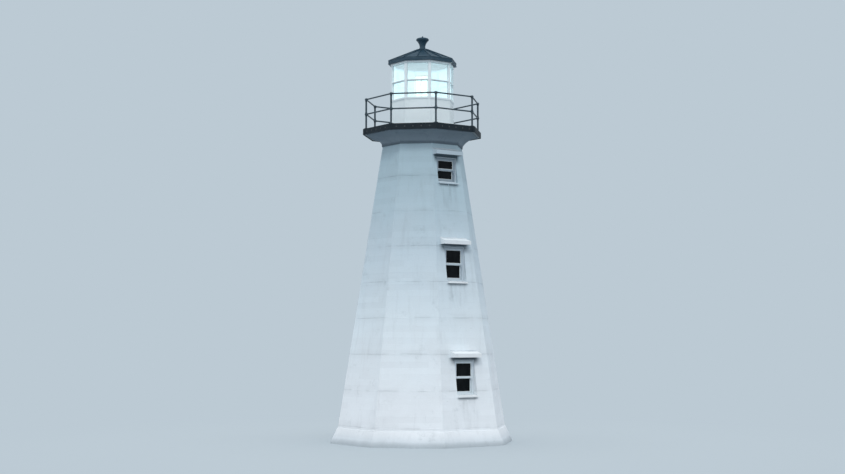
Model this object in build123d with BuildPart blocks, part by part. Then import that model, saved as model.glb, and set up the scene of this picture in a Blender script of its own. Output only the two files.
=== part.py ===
"""An octagonal concrete lighthouse: a battered hollow shaft on a splayed plinth, a coved gallery
with a pipe railing, and a glazed iron lantern with a pyramid roof and a ventilator.

Millimetres, +Z up. The origin is on the ground at the middle of the plan. The front face looks
along -Y, and a face's azimuth is counted from there towards +X.
"""

import math
import os

from build123d import *

# Plan
side_names = (
    "front", "front_right", "right", "back_right", "back", "back_left", "left", "front_left"
)
sides = len(side_names)
turn = 360 / sides
half_tan = math.tan(math.radians(turn / 2))
to_corner = 1 / math.cos(math.radians(turn / 2))
azimuths = {side: k * turn for k, side in enumerate(side_names)}
window_azimuth = azimuths["front_right"]
door_azimuth = azimuths["back_left"]

# Storeys
ground_floor_level = 150
ground_storey = 3050
middle_storey = 2750
floor_to_neck = 1750
floor_slab = 150
middle_floor_level = ground_floor_level + ground_storey
upper_floor_level = middle_floor_level + middle_storey
neck_level = upper_floor_level + floor_to_neck

# Shaft, measured across flats
foot_width = 4240
neck_width = 1980
wall_thickness = 250
batter = (foot_width - neck_width) / 2 / neck_level
batter_angle = math.degrees(math.atan(batter))
wall_run = wall_thickness * math.hypot(1, batter)

# Plinth
plinth_height = 380
plinth_splay = 130
plinth_lip = 20

# Gallery
cove_height = 320
cove_sagitta = 62
neck_band_height = 45
neck_band_projection = 22
deck_width = 2950
deck_thickness = 140
deck_overhang = 85
edge_band = 12
edge_drip = 18
deck_underside = neck_level + cove_height
deck_level = deck_underside + deck_thickness

# Railing, whose pipes have eight flats like the tower, so that they meet their fittings squarely
rail_height = 780
middle_rail_height = 390
rail_inset = 75
post_width = 48
rail_width = 38
collar_width = 60
collar_height = 46
foot_flange_width = 120
foot_flange_height = 14

# Window openings, and the units that stand upright in the sloping wall
window_width = 620
window_height = 930
upper_window_height = 690
lower_sill_rise = 1065
middle_sill_rise = 880
upper_sill_rise = 700
window_setback = 15
frame_depth = 80
frame_bar = 35
sash_bar = 42
sash_thickness = 30
sash_setback = 8
sash_gap = 2
pane_thickness = 6

# Window sills and hoods
sill_thickness = 60
sill_nose = 45
sill_fall = 22
drip_width = 14
drip_depth = 9
hood_ear = 105
hood_projection = 190
hood_fascia = 95
hood_wash = 60
hood_clearance = 65

# Door
door_width = 800
door_height = 1950
surround_width = 130
surround_head = 110
door_hood_projection = 110
door_hood_height = 90
door_recess = 75
door_frame_depth = 80
door_frame_bar = 48
door_stop = 16
door_stop_depth = 22
leaf_thickness = 44
leaf_clearance = 3
threshold_gap = 8
panel_margin = 105
panel_gap = 85
panel_depth = 10
hinge_radius = 9
hinge_height = 100
lock_plate_width = 50
lock_plate_height = 170
lock_plate_thickness = 4
knob_radius = 27
knob_thickness = 30
knob_shank_radius = 11
knob_reach = 50
knob_height = 950

# Lantern, measured across flats
lantern_width = 1560
lantern_wall_height = 740
lantern_wall_thickness = 50
lantern_foot_projection = 26
lantern_foot_height = 55
glazing_height = 1000
glazing_depth = 45
glazing_rail = 45
glazing_ledge = 18
mullion_width = 46
middle_bar = 26
glass_thickness = 8
glass_edge = 22
access_width = 470
access_overlap = 22
access_clearance = 3
access_plate = 14

# Lantern roof, measured across flats
eave_overhang = 75
eave_height = 90
roof_rise = 340
roof_sheet = 22
roof_crown_width = 200
hip_radius = 13
soffit_seat = 22

# Ventilator
vent_flange_inset = 5
vent_flange_height = 12
vent_stem_radius = 78
vent_stem_height = 100
vent_flare_radius = 168
vent_flare_height = 120
vent_rim_height = 30
vent_cap_height = 66
vent_knob_radius = 20
vent_knob_height = 26
vent_knob_point = 14

# Hatches in the floors, one above the other
hatch_width = 560
hatch_depth = 480
hatch_margin = 30
hatch_centre = lantern_width / 2 - lantern_wall_thickness - hatch_margin - hatch_depth / 2

# Light apparatus on the lantern floor
pedestal_flange_width = 370
pedestal_flange_height = 18
pedestal_width = 180
pedestal_height = 820
table_thickness = 26
lens_radius = 205
lens_wall = 40
lens_height = 560
lens_rings = 5
prism_depth = 9
belt_depth = 14
lens_cap_height = 26
lens_cap_opening = 115
upright_width = 20
upright_depth = 9
upright_clearance = 2
upright_distance = lens_radius + belt_depth + upright_clearance + upright_depth / 2
table_margin = 15
table_radius = upright_distance + upright_depth / 2 + table_margin

# Each window's face, the level of its opening's foot, and its opening's height
windows = {
    "lower_window": (window_azimuth, ground_floor_level + lower_sill_rise, window_height),
    "middle_window": (window_azimuth, middle_floor_level + middle_sill_rise, window_height),
    "upper_window": (window_azimuth, upper_floor_level + upper_sill_rise, upper_window_height),
    "back_middle_window": (door_azimuth, middle_floor_level + middle_sill_rise, window_height),
    "back_upper_window": (
        door_azimuth, upper_floor_level + upper_sill_rise, upper_window_height
    ),
}
from_centre = (Align.CENTER, Align.MIN)
from_foot = (Align.CENTER, Align.CENTER, Align.MIN)


def shaft_apothem(level):
    """Distance from the axis to the middle of the outer face at this level."""
    return foot_width / 2 - batter * level


def room_apothem(level):
    """Distance from the axis to the middle of the inner face at this level."""
    return shaft_apothem(level) - wall_run


def level_plane(level, azimuth=0):
    """Horizontal plane whose -Y side is the face with this azimuth."""
    return Plane.XY.offset(level).rotated((0, 0, azimuth))


def face_plane(azimuth, distance, level):
    """Upright plane that looks outward on one face: x to the viewer's right, y up."""
    a = math.radians(azimuth)
    return Plane(
        origin=(distance * math.sin(a), -distance * math.cos(a), level),
        x_dir=(math.cos(a), math.sin(a), 0),
        z_dir=(math.sin(a), -math.cos(a), 0),
    )


def section_plane(azimuth):
    """Upright plane through the axis and the middle of one face: x outward, y up."""
    a = math.radians(azimuth)
    return Plane(
        origin=(0, 0, 0),
        x_dir=(math.sin(a), -math.cos(a), 0),
        z_dir=(-math.cos(a), -math.sin(a), 0),
    )


def octagon(apothem, mode=Mode.ADD):
    """Octagon with a side square to each axis, by its apothem."""
    return RegularPolygon(apothem, sides, major_radius=False, rotation=turn / 2, mode=mode)


def keep_one_side(azimuth):
    """Trims the part in hand to the eighth behind one face, mitred through both corners."""
    for turned in (-turn / 2, turn / 2):
        a = math.radians(azimuth + turned)
        inward = math.copysign(1, -turned)
        mitre = Plane(origin=(0, 0, 0), z_dir=(inward * math.cos(a), inward * math.sin(a), 0))
        split(bisect_by=mitre, keep=Keep.TOP)


def save(part, name):
    """Labels a finished piece and writes its STEP file."""
    part.label = name
    export_step(part, f"parts/{name}.step")


os.makedirs("parts", exist_ok=True)

# Splayed plinth that the walls stand on, notched for the doorway
plinth_inside = room_apothem(plinth_height)
plinth_foot = foot_width / 2 + plinth_splay
plinth_top = shaft_apothem(plinth_height) + plinth_lip
with BuildPart() as plinth:
    with BuildSketch():
        octagon(plinth_foot)
    splay_angle = math.degrees(math.atan((plinth_foot - plinth_top) / plinth_height))
    extrude(amount=plinth_height, taper=splay_angle)
    with BuildSketch():
        octagon(plinth_inside)
    extrude(amount=plinth_height, mode=Mode.SUBTRACT)
    with BuildSketch(face_plane(door_azimuth, foot_width, ground_floor_level)):
        Rectangle(door_width, plinth_height, align=from_centre)
    extrude(amount=-foot_width, mode=Mode.SUBTRACT)
save(plinth.part, "foundation_plinth")

# Ground floor slab inside the plinth
with BuildPart() as ground_floor:
    with BuildSketch():
        octagon(plinth_inside)
    extrude(amount=ground_floor_level)
save(ground_floor.part, "ground_floor")

# Upper floor slabs, cast against the sloping walls and open at the hatch
for name, level in (("middle_floor", middle_floor_level), ("upper_floor", upper_floor_level)):
    with BuildPart() as floor:
        with BuildSketch(level_plane(level - floor_slab)):
            octagon(room_apothem(level - floor_slab))
        extrude(amount=floor_slab, taper=batter_angle)
        with BuildSketch(level_plane(level)):
            with Locations((0, hatch_centre)):
                Rectangle(hatch_width, hatch_depth)
        extrude(amount=-floor_slab, mode=Mode.SUBTRACT)
    save(floor.part, name)

# The hollow battered shaft, from the plinth to the neck
with BuildPart() as shaft:
    for apothem, mode in (
        (shaft_apothem(plinth_height), Mode.ADD),
        (room_apothem(plinth_height), Mode.SUBTRACT),
    ):
        with BuildSketch(level_plane(plinth_height)):
            octagon(apothem)
        extrude(amount=neck_level - plinth_height, taper=batter_angle, mode=mode)

# Its eight walls, mitred at the corners, with level openings for windows and door
for side, azimuth in azimuths.items():
    with BuildPart() as wall:
        add(shaft.part)
        keep_one_side(azimuth)
        for window_face, foot, height in windows.values():
            if window_face == azimuth:
                with BuildSketch(face_plane(azimuth, foot_width, foot)):
                    Rectangle(window_width, height, align=from_centre)
                extrude(amount=-foot_width, mode=Mode.SUBTRACT)
        if azimuth == door_azimuth:
            with BuildSketch(face_plane(azimuth, foot_width, ground_floor_level)):
                Rectangle(door_width, door_height, align=from_centre)
            extrude(amount=-foot_width, mode=Mode.SUBTRACT)
    save(wall.part, f"{side}_wall")


def window_front(foot, height):
    """Distance from the axis to the front of a window's upright frame."""
    return shaft_apothem(foot + height) - window_setback


def window_frame(azimuth, foot, height):
    """The fixed frame, upright in the battered wall, standing on the sill piece."""
    rise = height - sill_thickness
    with BuildPart() as frame:
        with BuildSketch(face_plane(azimuth, window_front(foot, height), foot + sill_thickness)):
            with Locations((0, rise / 2)):
                Rectangle(window_width, rise)
                Rectangle(
                    window_width - 2 * frame_bar, rise - 2 * frame_bar, mode=Mode.SUBTRACT
                )
        extrude(amount=-frame_depth)
    return frame.part


def sash_layout(foot, height):
    """Width and height of a sash, and for each sash its foot and the distance of its front."""
    clear_height = height - sill_thickness - 2 * frame_bar
    sash_height = (clear_height + sash_bar) / 2
    clear_foot = foot + sill_thickness + frame_bar
    front = window_front(foot, height) - sash_setback
    return (
        window_width - 2 * frame_bar,
        sash_height,
        (
            (clear_foot + clear_height - sash_height, front),
            (clear_foot, front - sash_thickness - sash_gap),
        ),
    )


def sashes(azimuth, foot, height):
    """The two sashes of a window, the upper one in front of the lower one."""
    width, sash_height, places = sash_layout(foot, height)
    with BuildPart() as pair:
        for sash_foot, front in places:
            with BuildSketch(face_plane(azimuth, front, sash_foot + sash_height / 2)):
                Rectangle(width, sash_height)
                Rectangle(
                    width - 2 * sash_bar, sash_height - 2 * sash_bar, mode=Mode.SUBTRACT
                )
            extrude(amount=-sash_thickness)
    return pair.part


def sash_glass(azimuth, foot, height):
    """One pane in the middle of each sash's thickness."""
    width, sash_height, places = sash_layout(foot, height)
    with BuildPart() as panes:
        for sash_foot, front in places:
            pane_front = front - (sash_thickness - pane_thickness) / 2
            with BuildSketch(face_plane(azimuth, pane_front, sash_foot + sash_height / 2)):
                Rectangle(width - 2 * sash_bar, sash_height - 2 * sash_bar)
            extrude(amount=-pane_thickness)
    return panes.part


def window_sill(azimuth, foot, height):
    """Sloped sill under the frame, with a nose that throws water clear and a drip groove."""
    front = window_front(foot, height)
    nose = shaft_apothem(foot) + sill_nose
    with BuildPart() as piece:
        with BuildSketch(section_plane(azimuth)):
            Polygon(
                (front - frame_depth, foot),
                (nose, foot),
                (nose, foot + sill_thickness - sill_fall),
                (front, foot + sill_thickness),
                (front - frame_depth, foot + sill_thickness),
                align=None,
            )
            with Locations((nose - sill_nose / 2, foot)):
                Rectangle(drip_width, 2 * drip_depth, mode=Mode.SUBTRACT)
        extrude(amount=window_width / 2, both=True)
    return piece.part


def window_hood(azimuth, foot, height):
    """Concrete label over a window: level soffit with a drip, upright fascia, sloped top."""
    soffit = foot + height + hood_clearance
    top = soffit + hood_fascia + hood_wash
    front = shaft_apothem(soffit) + hood_projection
    with BuildPart() as piece:
        with BuildSketch(section_plane(azimuth)):
            Polygon(
                (shaft_apothem(soffit), soffit),
                (front, soffit),
                (front, soffit + hood_fascia),
                (shaft_apothem(top), top),
                align=None,
            )
            with Locations((front - 2 * drip_width, soffit)):
                Rectangle(drip_width, 2 * drip_depth, mode=Mode.SUBTRACT)
        extrude(amount=window_width / 2 + hood_ear, both=True)
    return piece.part


with BuildPart() as back_frames:
    for name, place in windows.items():
        if place[0] == window_azimuth:
            save(window_frame(*place), f"{name}_frame")
        else:
            add(window_frame(*place))
save(back_frames.part, "back_window_frames")
for name, make in (
    ("window_sashes", sashes),
    ("window_glass", sash_glass),
    ("window_sills", window_sill),
    ("window_hoods", window_hood),
):
    with BuildPart() as group:
        for place in windows.values():
            add(make(*place))
    save(group.part, name)

# Door surround: a concrete portal that stands upright against the battered wall
door_head = ground_floor_level + door_height
surround_top = door_head + surround_head
surround_front = shaft_apothem(plinth_height) + plinth_lip
surround_back = shaft_apothem(surround_top + door_hood_height)
with BuildPart() as surround:
    with BuildSketch(face_plane(door_azimuth, surround_front, plinth_height)):
        Rectangle(
            door_width + 2 * surround_width, surround_top - plinth_height, align=from_centre
        )
    extrude(amount=surround_back - surround_front)
    hood_front = surround_front + door_hood_projection
    with BuildSketch(face_plane(door_azimuth, hood_front, surround_top)):
        Rectangle(
            door_width + 2 * surround_width + door_hood_projection,
            door_hood_height,
            align=from_centre,
        )
    extrude(amount=surround_back - hood_front)
    with BuildSketch(face_plane(door_azimuth, foot_width, ground_floor_level)):
        Rectangle(door_width, door_height, align=from_centre)
    extrude(amount=-foot_width, mode=Mode.SUBTRACT)
    with BuildSketch():
        octagon(shaft_apothem(0))
    extrude(amount=neck_level, taper=batter_angle, mode=Mode.SUBTRACT)
save(surround.part, "door_surround")

# Door frame with a stop behind the leaf
door_front = surround_front - door_recess
stop_front = door_front - door_frame_depth + door_stop_depth
with BuildPart() as door_frame:
    for front, bar, depth in (
        (door_front, door_frame_bar, door_frame_depth),
        (stop_front, door_frame_bar + door_stop, door_stop_depth),
    ):
        with BuildSketch(face_plane(door_azimuth, front, ground_floor_level)):
            Rectangle(door_width, door_height, align=from_centre)
            Rectangle(
                door_width - 2 * bar, door_height - bar, align=from_centre, mode=Mode.SUBTRACT
            )
        extrude(amount=-depth)
save(door_frame.part, "door_frame")

# Door leaf, shut against the stop, with three sunk panels
leaf_width = door_width - 2 * door_frame_bar - 2 * leaf_clearance
leaf_height = door_height - door_frame_bar - leaf_clearance - threshold_gap
leaf_front = stop_front + leaf_thickness
leaf_foot = ground_floor_level + threshold_gap
panel_height = (leaf_height - 2 * panel_margin - 2 * panel_gap) / 3
with BuildPart() as leaf:
    with BuildSketch(face_plane(door_azimuth, leaf_front, leaf_foot)):
        Rectangle(leaf_width, leaf_height, align=from_centre)
    extrude(amount=-leaf_thickness)
    with BuildSketch(face_plane(door_azimuth, leaf_front, leaf_foot + leaf_height / 2)):
        with GridLocations(0, panel_height + panel_gap, 1, 3):
            Rectangle(leaf_width - 2 * panel_margin, panel_height)
    extrude(amount=-panel_depth, mode=Mode.SUBTRACT, taper=25)
save(leaf.part, "door_leaf")

# Three hinge knuckles, and a knob on its lock plate
hinge_across = leaf_width / 2 - hinge_radius
knob_across = panel_margin / 2 - leaf_width / 2
with BuildPart() as fittings:
    with Locations(face_plane(door_azimuth, leaf_front, leaf_foot)):
        with Locations(
            *[(hinge_across, leaf_height * share, hinge_radius) for share in (0.12, 0.5, 0.88)]
        ):
            Cylinder(hinge_radius, hinge_height, rotation=(90, 0, 0))
        with Locations((knob_across, knob_height)):
            Box(lock_plate_width, lock_plate_height, lock_plate_thickness, align=from_foot)
            Cylinder(knob_shank_radius, knob_reach, align=from_foot)
        with Locations((knob_across, knob_height, knob_reach)):
            Cylinder(knob_radius, knob_thickness, align=from_foot)
save(fittings.part, "door_fittings")

# Coved ring under the deck, with a small band at its foot. Its section is drawn once on the
# front face, run past both corners, mitred, and repeated on the other faces.
cove_top = deck_width / 2 - deck_overhang
cove_inside = room_apothem(neck_level)
cove_foot = shaft_apothem(neck_level) + neck_band_projection / 2
with BuildPart() as cove:
    with BuildSketch(section_plane(0)):
        with BuildLine():
            Polyline(
                (cove_top, deck_underside - edge_drip),
                (cove_top, deck_underside),
                (cove_inside, deck_underside),
                (cove_inside, neck_level),
                (cove_foot + neck_band_projection / 2, neck_level),
                (cove_foot + neck_band_projection / 2, neck_level + neck_band_height),
                (cove_foot, neck_level + neck_band_height),
            )
            SagittaArc(
                (cove_foot, neck_level + neck_band_height),
                (cove_top, deck_underside - edge_drip),
                cove_sagitta,
            )
        make_face()
    extrude(amount=deck_width, both=True)
    keep_one_side(azimuths["front"])
    front_cove = cove.part
    for k in range(1, sides):
        add(front_cove.rotate(Axis.Z, k * turn))
save(cove.part, "gallery_cove")

# Gallery deck, which is also the lantern's floor, open at the hatch
slab_apothem = deck_width / 2 - edge_band
with BuildPart() as deck:
    with BuildSketch(level_plane(deck_underside)):
        octagon(slab_apothem)
        with Locations((0, hatch_centre)):
            Rectangle(hatch_width, hatch_depth, mode=Mode.SUBTRACT)
    extrude(amount=deck_thickness)
save(deck.part, "gallery_deck")

# Steel band round the deck's edge, with a drip below it
with BuildPart() as band:
    with BuildSketch(level_plane(deck_underside - edge_drip)):
        octagon(deck_width / 2)
        octagon(slab_apothem, mode=Mode.SUBTRACT)
    extrude(amount=deck_thickness + edge_drip)
save(band.part, "gallery_edge_band")

# Railing: on each side one post, and the two rails that run from it to the next post
post_distance = (deck_width / 2 - rail_inset) * to_corner


def post_place(azimuth):
    """Plan position of the post at the left-hand corner of a face."""
    a = math.radians(azimuth - turn / 2)
    return (post_distance * math.sin(a), -post_distance * math.cos(a))


def post(azimuth):
    """Post at the left-hand corner of a face, with a foot flange and a collar at each rail."""
    with BuildPart() as piece:
        for foot, height, width in (
            (0, rail_height, post_width),
            (0, foot_flange_height, foot_flange_width),
            (middle_rail_height - collar_height / 2, collar_height, collar_width),
            (rail_height - collar_height / 2, collar_height, collar_width),
        ):
            with BuildSketch(level_plane(deck_level + foot)):
                with Locations(post_place(azimuth)):
                    octagon(width / 2)
            extrude(amount=height)
    return piece.part


for side, azimuth in azimuths.items():
    start, end = post_place(azimuth), post_place(azimuth + turn)
    along = (end[0] - start[0], end[1] - start[1], 0)
    with BuildPart() as railing:
        add(post(azimuth))
        for rise in (middle_rail_height, rail_height):
            with BuildSketch(Plane(origin=(*start, deck_level + rise), z_dir=along)):
                octagon(rail_width / 2)
            extrude(amount=math.dist(start, end))
        add(post(azimuth + turn), mode=Mode.SUBTRACT)
    save(railing.part, f"{side}_railing")

# Lantern wall with a foot flange, cut for the access door
lantern_apothem = lantern_width / 2
lantern_inside = lantern_apothem - lantern_wall_thickness
lantern_wall_top = deck_level + lantern_wall_height
access_rise = lantern_foot_height + access_overlap + access_clearance
access_height = lantern_wall_height - 2 * access_rise
access_foot = deck_level + access_rise
with BuildPart() as lantern_wall:
    for apothem, height in (
        (lantern_apothem, lantern_wall_height),
        (lantern_apothem + lantern_foot_projection, lantern_foot_height),
    ):
        with BuildSketch(level_plane(deck_level)):
            octagon(apothem)
            octagon(lantern_inside, mode=Mode.SUBTRACT)
        extrude(amount=height)
    with BuildSketch(face_plane(door_azimuth, lantern_width, access_foot)):
        Rectangle(access_width, access_height, align=from_centre)
    extrude(amount=-lantern_width, mode=Mode.SUBTRACT)
save(lantern_wall.part, "lantern_wall")

# Access door to the gallery: a round-cornered plate that closes over the opening
access_middle = access_foot + access_height / 2
with BuildPart() as access_door:
    with BuildSketch(face_plane(door_azimuth, lantern_apothem, access_middle)):
        RectangleRounded(
            access_width + 2 * access_overlap,
            access_height + 2 * access_overlap,
            access_overlap,
        )
    extrude(amount=access_plate)
save(access_door.part, "lantern_access_door")

# Glazing frame: sill and head rails, eight corner mullions and a middle bar
glazing_top = lantern_wall_top + glazing_height
glazing_inside = lantern_apothem - glazing_depth
side_clear = 2 * glazing_inside * half_tan - mullion_width
light_height = (glazing_height - 2 * glazing_rail - middle_bar) / 2
with BuildPart() as glazing_frame:
    for foot, apothem, height in (
        (lantern_wall_top, lantern_apothem, glazing_height),
        (lantern_wall_top, lantern_apothem + glazing_ledge, glazing_rail),
        (glazing_top - glazing_rail, lantern_apothem + glazing_ledge, glazing_rail),
    ):
        with BuildSketch(level_plane(foot)):
            octagon(apothem)
            octagon(glazing_inside, mode=Mode.SUBTRACT)
        extrude(amount=height)
    for azimuth in azimuths.values():
        with BuildSketch(
            face_plane(azimuth, lantern_width, lantern_wall_top + glazing_height / 2)
        ):
            with GridLocations(0, light_height + middle_bar, 1, 2):
                Rectangle(side_clear, light_height)
        extrude(amount=-lantern_width, mode=Mode.SUBTRACT)
save(glazing_frame.part, "glazing_frame")

# Lantern glass: one sheet a side, bedded against the inside of the frame
with BuildPart() as lantern_glass:
    for azimuth in azimuths.values():
        with BuildSketch(
            face_plane(azimuth, glazing_inside, lantern_wall_top + glazing_height / 2)
        ):
            Rectangle(
                side_clear + glass_edge, glazing_height - 2 * glazing_rail + 2 * glass_edge
            )
        extrude(amount=-glass_thickness)
save(lantern_glass.part, "lantern_glass")

# Lantern eave: an upright fascia with a soffit plate that sits on the glazing frame's head
eave_apothem = lantern_apothem + eave_overhang
eave_level = glazing_top + eave_height
with BuildPart() as eave:
    for foot, height, inside in (
        (glazing_top, roof_sheet, glazing_inside - soffit_seat),
        (glazing_top, eave_height, eave_apothem - roof_sheet),
    ):
        with BuildSketch(level_plane(foot)):
            octagon(eave_apothem)
            octagon(inside, mode=Mode.SUBTRACT)
        extrude(amount=height)
save(eave.part, "lantern_eave")

# Lantern roof: a sheet pyramid on the fascia, with a crown plate and hip rolls
crown_level = eave_level + roof_rise
crown_apothem = roof_crown_width / 2
roof_taper = math.degrees(math.atan((eave_apothem - crown_apothem) / roof_rise))
with BuildPart() as roof:
    with BuildSketch(level_plane(eave_level)):
        octagon(eave_apothem)
    extrude(amount=roof_rise, taper=roof_taper)
    for k in range(sides):
        a = math.radians((k + 0.5) * turn)
        outward = Vector(math.sin(a), -math.cos(a), 0) * to_corner
        with BuildLine():
            hip = Line(
                outward * eave_apothem + Vector(0, 0, eave_level),
                outward * crown_apothem + Vector(0, 0, crown_level),
            )
        with BuildSketch(Plane(origin=hip @ 0, z_dir=hip % 0)):
            RegularPolygon(hip_radius, sides)
        extrude(amount=hip.edge().length)
    with BuildSketch(level_plane(crown_level)):
        octagon(eave_apothem)
    extrude(amount=roof_rise, mode=Mode.SUBTRACT)
    with BuildSketch(level_plane(eave_level)):
        octagon(eave_apothem + eave_overhang)
    extrude(amount=-eave_height, mode=Mode.SUBTRACT)
    with BuildSketch(level_plane(eave_level)):
        octagon(eave_apothem - roof_sheet)
    extrude(amount=roof_rise - roof_sheet, taper=roof_taper, mode=Mode.SUBTRACT)
save(roof.part, "lantern_roof")

# Ventilator: a flange on the crown plate, then a stem, a flaring cowl, a rim, a conical cap,
# and a knob with a pointed top
vent_levels = [crown_level]
for rise in (
    vent_flange_height, vent_stem_height, vent_flare_height, vent_rim_height,
    vent_cap_height, vent_knob_height, vent_knob_point,
):
    vent_levels.append(vent_levels[-1] + rise)
vent_foot, stem_foot, flare_foot, rim_foot, rim_top, knob_foot, knob_top, vent_top = vent_levels
with BuildPart() as ventilator:
    with BuildSketch(level_plane(vent_foot)):
        octagon(crown_apothem - vent_flange_inset)
    extrude(amount=vent_flange_height)
    with BuildSketch(Plane.XZ):
        with BuildLine():
            Polyline(
                (0, stem_foot),
                (vent_stem_radius, stem_foot),
                (vent_stem_radius, flare_foot),
                (vent_flare_radius, rim_foot),
                (vent_flare_radius, rim_top),
                (vent_knob_radius, knob_foot),
                (vent_knob_radius, knob_top),
                (0, vent_top),
                close=True,
            )
        make_face()
    revolve(axis=Axis.Z)
save(ventilator.part, "ventilator")

# Octagonal pedestal with a round table for the lens
table_level = deck_level + pedestal_flange_height + pedestal_height
with BuildPart() as pedestal:
    for height, width in (
        (pedestal_flange_height, pedestal_flange_width),
        (pedestal_flange_height + pedestal_height, pedestal_width),
    ):
        with BuildSketch(level_plane(deck_level)):
            octagon(width / 2)
        extrude(amount=height)
    with Locations((0, 0, table_level)):
        Cylinder(table_radius, table_thickness, align=from_foot)
save(pedestal.part, "optic_pedestal")

# Drum lens: a glass ring whose outside has a plain middle belt, and stepped prisms that slope
# towards it from above and below
lens_foot = table_level + table_thickness
ring_pitch = lens_height / lens_rings
prism_reach = lens_radius + prism_depth
belt_reach = lens_radius + belt_depth
lens_outline = [(lens_radius - lens_wall, lens_foot)]
for k in range(lens_rings):
    if k < lens_rings // 2:
        reaches = (lens_radius, prism_reach)
    elif k == lens_rings // 2:
        reaches = (belt_reach, belt_reach)
    else:
        reaches = (prism_reach, lens_radius)
    for step, reach in enumerate(reaches):
        lens_outline.append((reach, lens_foot + (k + step) * ring_pitch))
lens_outline.append((lens_radius - lens_wall, lens_foot + lens_height))
with BuildPart() as lens:
    with BuildSketch(Plane.XZ):
        with BuildLine():
            Polyline(*lens_outline, close=True)
        make_face()
    revolve(axis=Axis.Z)
save(lens.part, "drum_lens")

# Lens frame: a cap ring on the glass, and flat uprights that stand on the table
with BuildPart() as lens_frame:
    with BuildSketch(level_plane(lens_foot + lens_height)):
        Circle(table_radius)
        Circle(lens_cap_opening, mode=Mode.SUBTRACT)
    extrude(amount=lens_cap_height)
    with BuildSketch(level_plane(lens_foot)):
        with PolarLocations(upright_distance, sides):
            Rectangle(upright_depth, upright_width)
    extrude(amount=lens_height)
save(lens_frame.part, "lens_frame")
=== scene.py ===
# %% [markdown]
# # Dressing an octagonal concrete lighthouse
# The solid model of the tower is already built. This lesson gives it its looks:
# weathered white paint on board-marked concrete, putty round the panes, bolts, rivets, pipe
# fittings, and a lit lens behind salted glass. The model is loaded first and never changed, so
# everything that follows is measured from it.

# %% Load the frame
import math

import bmesh
import bpy
import numpy as np
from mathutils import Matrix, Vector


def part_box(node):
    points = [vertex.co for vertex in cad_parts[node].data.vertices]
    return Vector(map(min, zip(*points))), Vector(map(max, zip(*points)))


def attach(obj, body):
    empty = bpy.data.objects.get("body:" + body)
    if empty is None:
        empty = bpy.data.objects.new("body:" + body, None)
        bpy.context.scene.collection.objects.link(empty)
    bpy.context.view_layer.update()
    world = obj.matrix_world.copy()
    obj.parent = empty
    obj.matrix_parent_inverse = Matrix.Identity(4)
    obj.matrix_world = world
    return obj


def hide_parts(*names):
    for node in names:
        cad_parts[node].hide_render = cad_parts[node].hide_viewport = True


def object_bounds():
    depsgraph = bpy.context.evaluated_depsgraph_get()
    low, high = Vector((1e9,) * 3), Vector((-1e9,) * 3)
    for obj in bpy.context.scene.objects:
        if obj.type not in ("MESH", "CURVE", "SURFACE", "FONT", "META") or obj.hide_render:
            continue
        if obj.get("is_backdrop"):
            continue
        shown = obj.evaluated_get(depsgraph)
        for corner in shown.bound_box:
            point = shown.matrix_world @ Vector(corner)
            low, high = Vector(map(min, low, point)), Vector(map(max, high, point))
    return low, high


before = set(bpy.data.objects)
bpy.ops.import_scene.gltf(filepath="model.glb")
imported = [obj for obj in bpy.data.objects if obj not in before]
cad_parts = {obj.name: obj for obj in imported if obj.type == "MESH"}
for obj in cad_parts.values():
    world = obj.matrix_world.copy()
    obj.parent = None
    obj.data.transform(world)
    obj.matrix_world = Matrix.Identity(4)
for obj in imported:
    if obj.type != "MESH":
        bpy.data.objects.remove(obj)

cad_low, cad_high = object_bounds()
print("loaded", len(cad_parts), "nodes, height", round(cad_high.z, 3))

# %% [markdown]
# ## Talking about a place on an eight-sided tower
# Most pieces belong to one of the eight sides, so it helps to write a place as a person in
# front of that side would: how far across, how far out from the tower's axis, and how high.
# Two short functions turn such places into x, y, z and back. Side 0 looks along -Y, and the
# others follow towards +X.

# %% Places on a side
SIDES = 8
TURN = 2 * math.pi / SIDES
HALF_TAN = math.tan(TURN / 2)
TO_CORNER = 1 / math.cos(TURN / 2)
SIDE_NAMES = ("front", "front_right", "right", "back_right", "back", "back_left", "left", "front_left")
ALL_SIDES = np.arange(SIDES)
CORNERS = ALL_SIDES + 0.5
WINDOW_SIDE, DOOR_SIDE = 1, 5


def on_side(side, across, out, up):
    """Places in x, y, z: x = across cos a + out sin a, y = across sin a - out cos a, z = up,
    where a is the side's azimuth. A half number is the corner after that side."""
    side, across, out, up = np.broadcast_arrays(side, across, out, up)
    a = side * TURN
    return np.stack([across * np.cos(a) + out * np.sin(a), across * np.sin(a) - out * np.cos(a), up * 1.0], -1)


def seen_from(node, side):
    """A node's corners as (across, out, up) for someone in front of a side."""
    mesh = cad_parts[node].data
    flat = np.empty(len(mesh.vertices) * 3, np.float32)
    mesh.vertices.foreach_get("co", flat)
    x, y, z = flat.reshape(-1, 3).astype(float).T
    a = side * TURN
    return np.stack([x * math.cos(a) + y * math.sin(a), x * math.sin(a) - y * math.cos(a), z], 1)


print("first corner of side 0 at", on_side(0.5, 0, 1, 0).round(3))

# %% [markdown]
# ## Sizes from the frame
# The walls lean inwards, so the distance from the axis to a face depends on the level. It is
# read once from the front wall's foot and head. The other levels come from the nodes' boxes.

# %% Read the sizes
wall = seen_from("front_wall", 0)
plinth_top, neck = wall[:, 2].min(), wall[:, 2].max()
foot_apothem, neck_apothem = (wall[abs(wall[:, 2] - z) < 1e-3, 1].max() for z in (plinth_top, neck))
BATTER = (foot_apothem - neck_apothem) / (neck - plinth_top)
BATTER_ANGLE = math.atan(BATTER)


def shaft(level):
    """Distance from the axis to the wall's outer face at a level."""
    return foot_apothem - BATTER * (level - plinth_top)


def extent(node):
    """Largest distance out from the axis on side 0, and lowest and highest level."""
    low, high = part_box(node)
    return -low.y, low.z, high.z


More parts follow.
